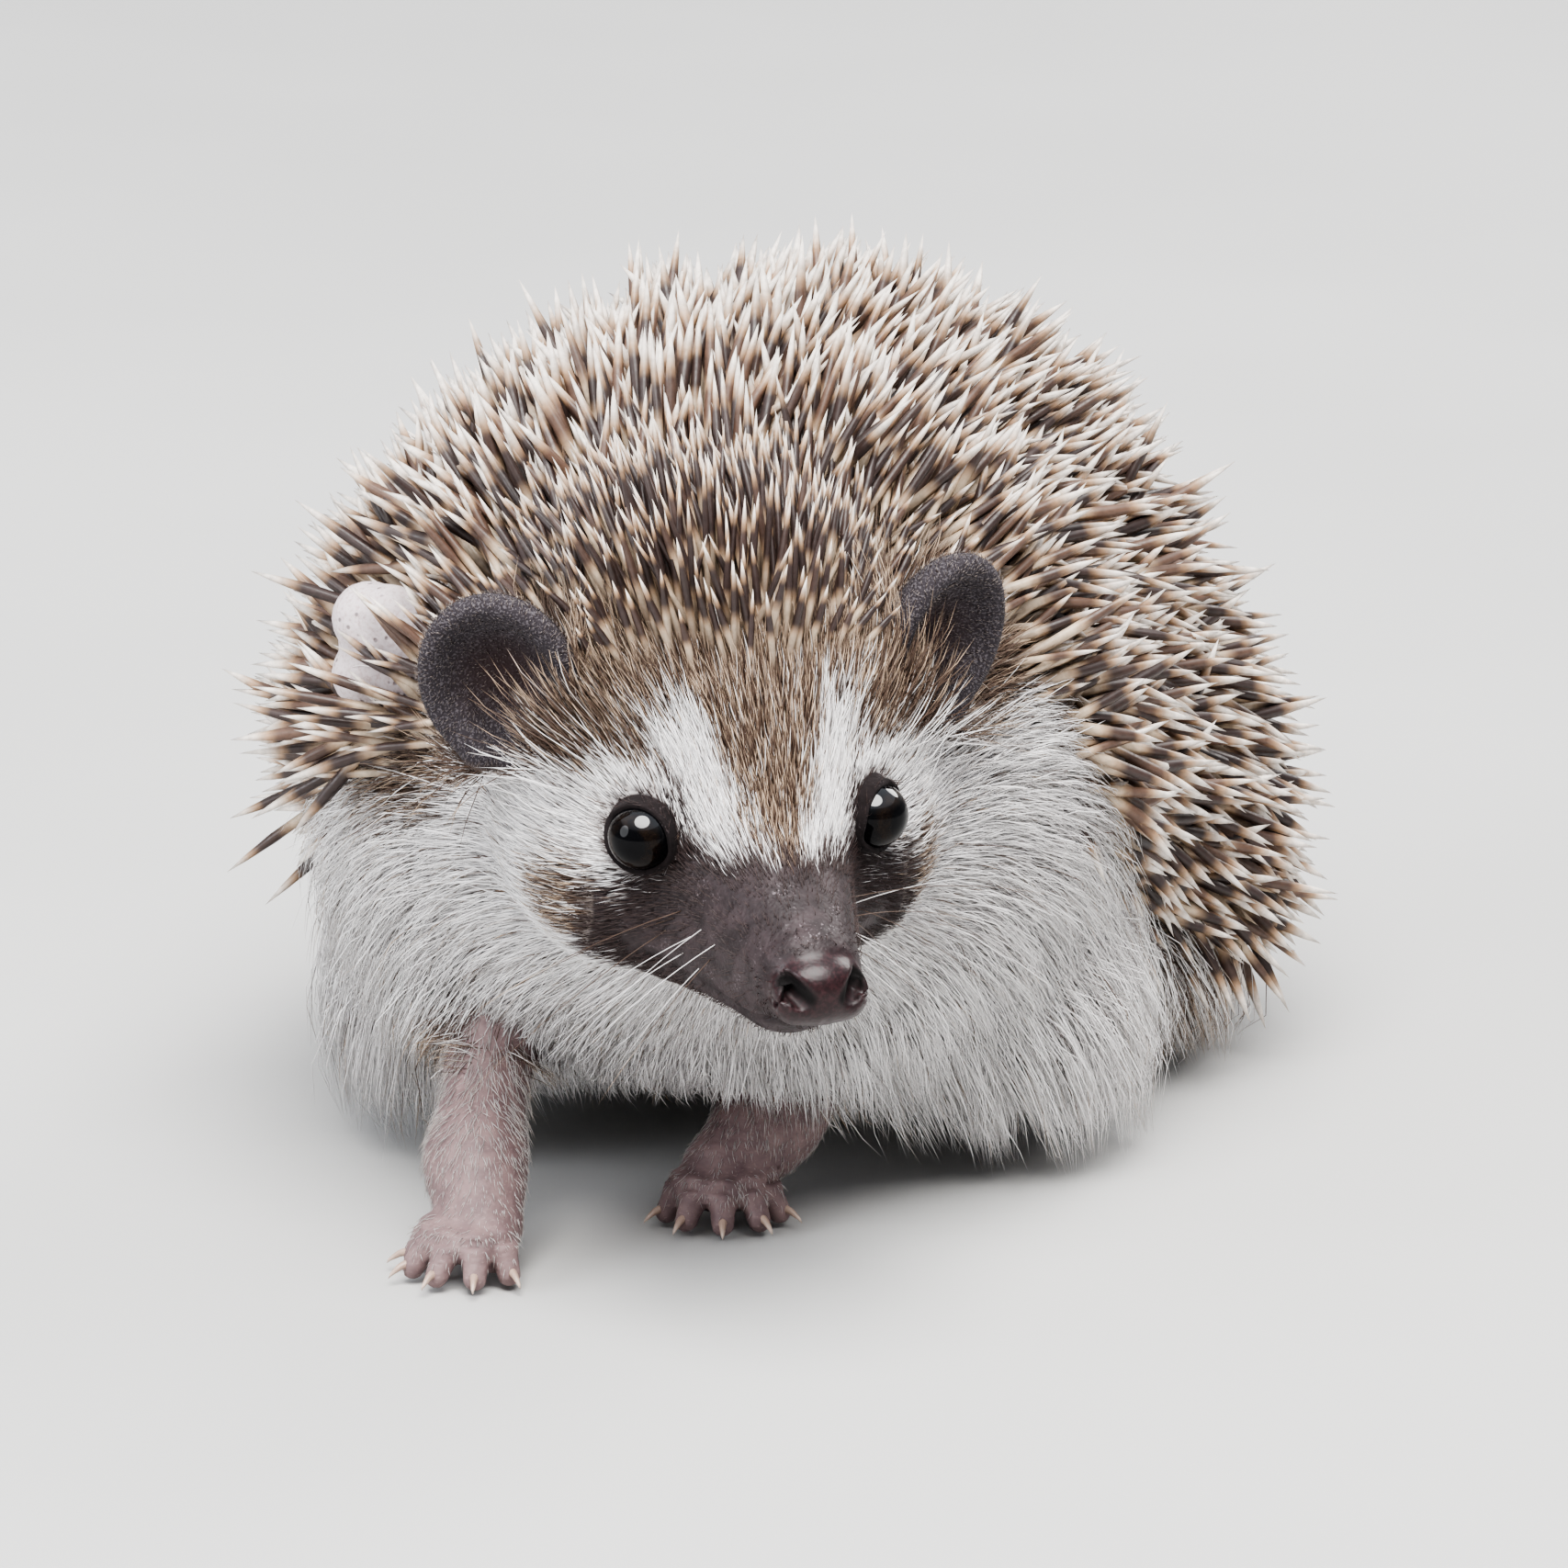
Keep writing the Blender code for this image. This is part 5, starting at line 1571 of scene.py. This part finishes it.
class HEDGEHOG_OT_stage(bpy.types.Operator):
    """A pale seamless floor, soft lamps and the camera"""
    bl_idname = "hedgehog.stage"
    bl_label = "Stage"

    def execute(self, context):
        sizes = context.scene.hedgehog_stage
        self.floor(context, sizes)
        self.lamps(context, sizes)
        self.camera(context, sizes)
        return {"FINISHED"}

    def floor(self, context, sizes):
        """A round floor that curves up into a wall far from the animal."""
        flat, bend, wall, spokes = 2.6, 0.9, 2.4, 96
        outline = [(0.02, 0.0), (0.5, 0.0), (flat, 0.0)]
        for a in range(10, 91, 10):
            outline.append((flat + bend * sin(radians(a)), bend - bend * cos(radians(a))))
        outline.append((flat + bend, wall))
        work = bmesh.new()
        turns = [2 * pi * i / spokes for i in range(spokes)]
        rings = [[work.verts.new((reach * cos(a), reach * sin(a), height)) for a in turns]
                 for reach, height in outline]
        for inner, outer in zip(rings[:-1], rings[1:]):
            for i in range(spokes):
                j = (i + 1) % spokes
                work.faces.new((inner[i], outer[i], outer[j], inner[j]))
        work.faces.new(rings[0])
        mesh = bpy.data.meshes.new("floor")
        work.to_mesh(mesh)
        work.free()
        mesh.shade_smooth()
        material, t, shader = new_material("Floor", 0.85, 0.2)
        tint = sizes.floor
        darker = tuple(0.93 * part for part in tint[:3]) + (1.0,)
        mottled = t.mix(t.spread(t.noise(6, 3), 0.3, 0.7), tint, darker)
        t.fill(shader, {"Base Color": mottled, "Normal": t.relief(t.noise(900, 2), 0.1, 0.1)})
        mesh.materials.append(material)
        found = bpy.data.objects.new("floor", mesh)
        context.scene.collection.objects.link(found)

    def lamps(self, context, sizes):
        """A broad lamp above, a smaller one in front and a soft light from all round."""
        aim = Vector(LAMP_AIM)
        for name, at, size, power, tint in (
            ("key", (0.25, -0.55, 1.25), 1.1, sizes.key, (1.0, 0.985, 0.96)),
            ("fill", (-0.9, -0.9, 0.55), 0.8, sizes.fill, (0.93, 0.96, 1.0)),
            ("rim", (0.5, 1.1, 0.9), 0.7, sizes.fill, (1.0, 0.98, 0.95)),
        ):
            lamp = bpy.data.lights.new(name, "AREA")
            lamp.shape = "DISK"
            lamp.size = size
            lamp.energy = power
            lamp.color = tint
            found = bpy.data.objects.new(name, lamp)
            found.location = at
            found.rotation_euler = (aim - Vector(at)).to_track_quat("-Z", "Y").to_euler()
            context.scene.collection.objects.link(found)
        world = bpy.data.worlds.new("Studio")
        world.use_nodes = True
        sky = world.node_tree.nodes["Background"]
        sky.inputs["Color"].default_value = (0.86, 0.91, 1.0, 1)
        sky.inputs["Strength"].default_value = sizes.sky
        context.scene.world = world
        context.scene.view_settings.look = "AgX - Medium High Contrast"

    def camera(self, context, sizes):
        """Where the camera stands: level with its azimuth and elevation about the head and chest."""
        a, e = sizes.azimuth, sizes.elevation
        back = Vector((sin(a) * cos(e), -cos(a) * cos(e), sin(e)))
        aim = Vector(CAMERA_AIM) * MM
        camera = bpy.data.cameras.new("camera")
        camera.lens = sizes.focal
        camera.sensor_width = 36.0
        camera.clip_start, camera.clip_end = 0.05, 20.0
        found = bpy.data.objects.new("camera", camera)
        found.location = aim + back * sizes.distance
        found.rotation_euler = back.to_track_quat("Z", "Y").to_euler()
        context.scene.collection.objects.link(found)
        context.scene.camera = found


# ---------------------------------------------------------------- the panel and the add-on
STEPS = (
    HEDGEHOG_OT_skin, HEDGEHOG_OT_quills, HEDGEHOG_OT_face_fur, HEDGEHOG_OT_body_fur,
    HEDGEHOG_OT_brow_hair, HEDGEHOG_OT_leg_hair, HEDGEHOG_OT_whiskers, HEDGEHOG_OT_eyes,
    HEDGEHOG_OT_claws, HEDGEHOG_OT_stage,
)
SETTINGS = {"hedgehog_skin": SkinSettings, "hedgehog_quills": QuillSettings, "hedgehog_fur": FurSettings,
            "hedgehog_stage": StageSettings}


class HEDGEHOG_PT_panel(bpy.types.Panel):
    """Every step and setting of the hedgehog"""
    bl_idname = "HEDGEHOG_PT_panel"
    bl_label = "Hedgehog"
    bl_space_type = "VIEW_3D"
    bl_region_type = "UI"
    bl_category = "Hedgehog"

    def draw(self, context):
        for step in STEPS:
            self.layout.operator(step.bl_idname)
        for name in SETTINGS:
            box = self.layout.box()
            settings = getattr(context.scene, name)
            for key in settings.bl_rna.properties.keys():
                if key not in ("rna_type", "name"):
                    box.prop(settings, key)


def register():
    for kind in (*SETTINGS.values(), *STEPS, HEDGEHOG_PT_panel):
        bpy.utils.register_class(kind)
    for name, kind in SETTINGS.items():
        setattr(bpy.types.Scene, name, bpy.props.PointerProperty(type=kind))


def unregister():
    for name in SETTINGS:
        delattr(bpy.types.Scene, name)
    for kind in reversed((*SETTINGS.values(), *STEPS, HEDGEHOG_PT_panel)):
        bpy.utils.unregister_class(kind)


def main():
    """Makes every piece in order."""
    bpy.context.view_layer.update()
    register()
    for step in STEPS:
        group, name = step.bl_idname.split(".")
        getattr(getattr(bpy.ops, group), name)()


if __name__ == "__main__":
    main()
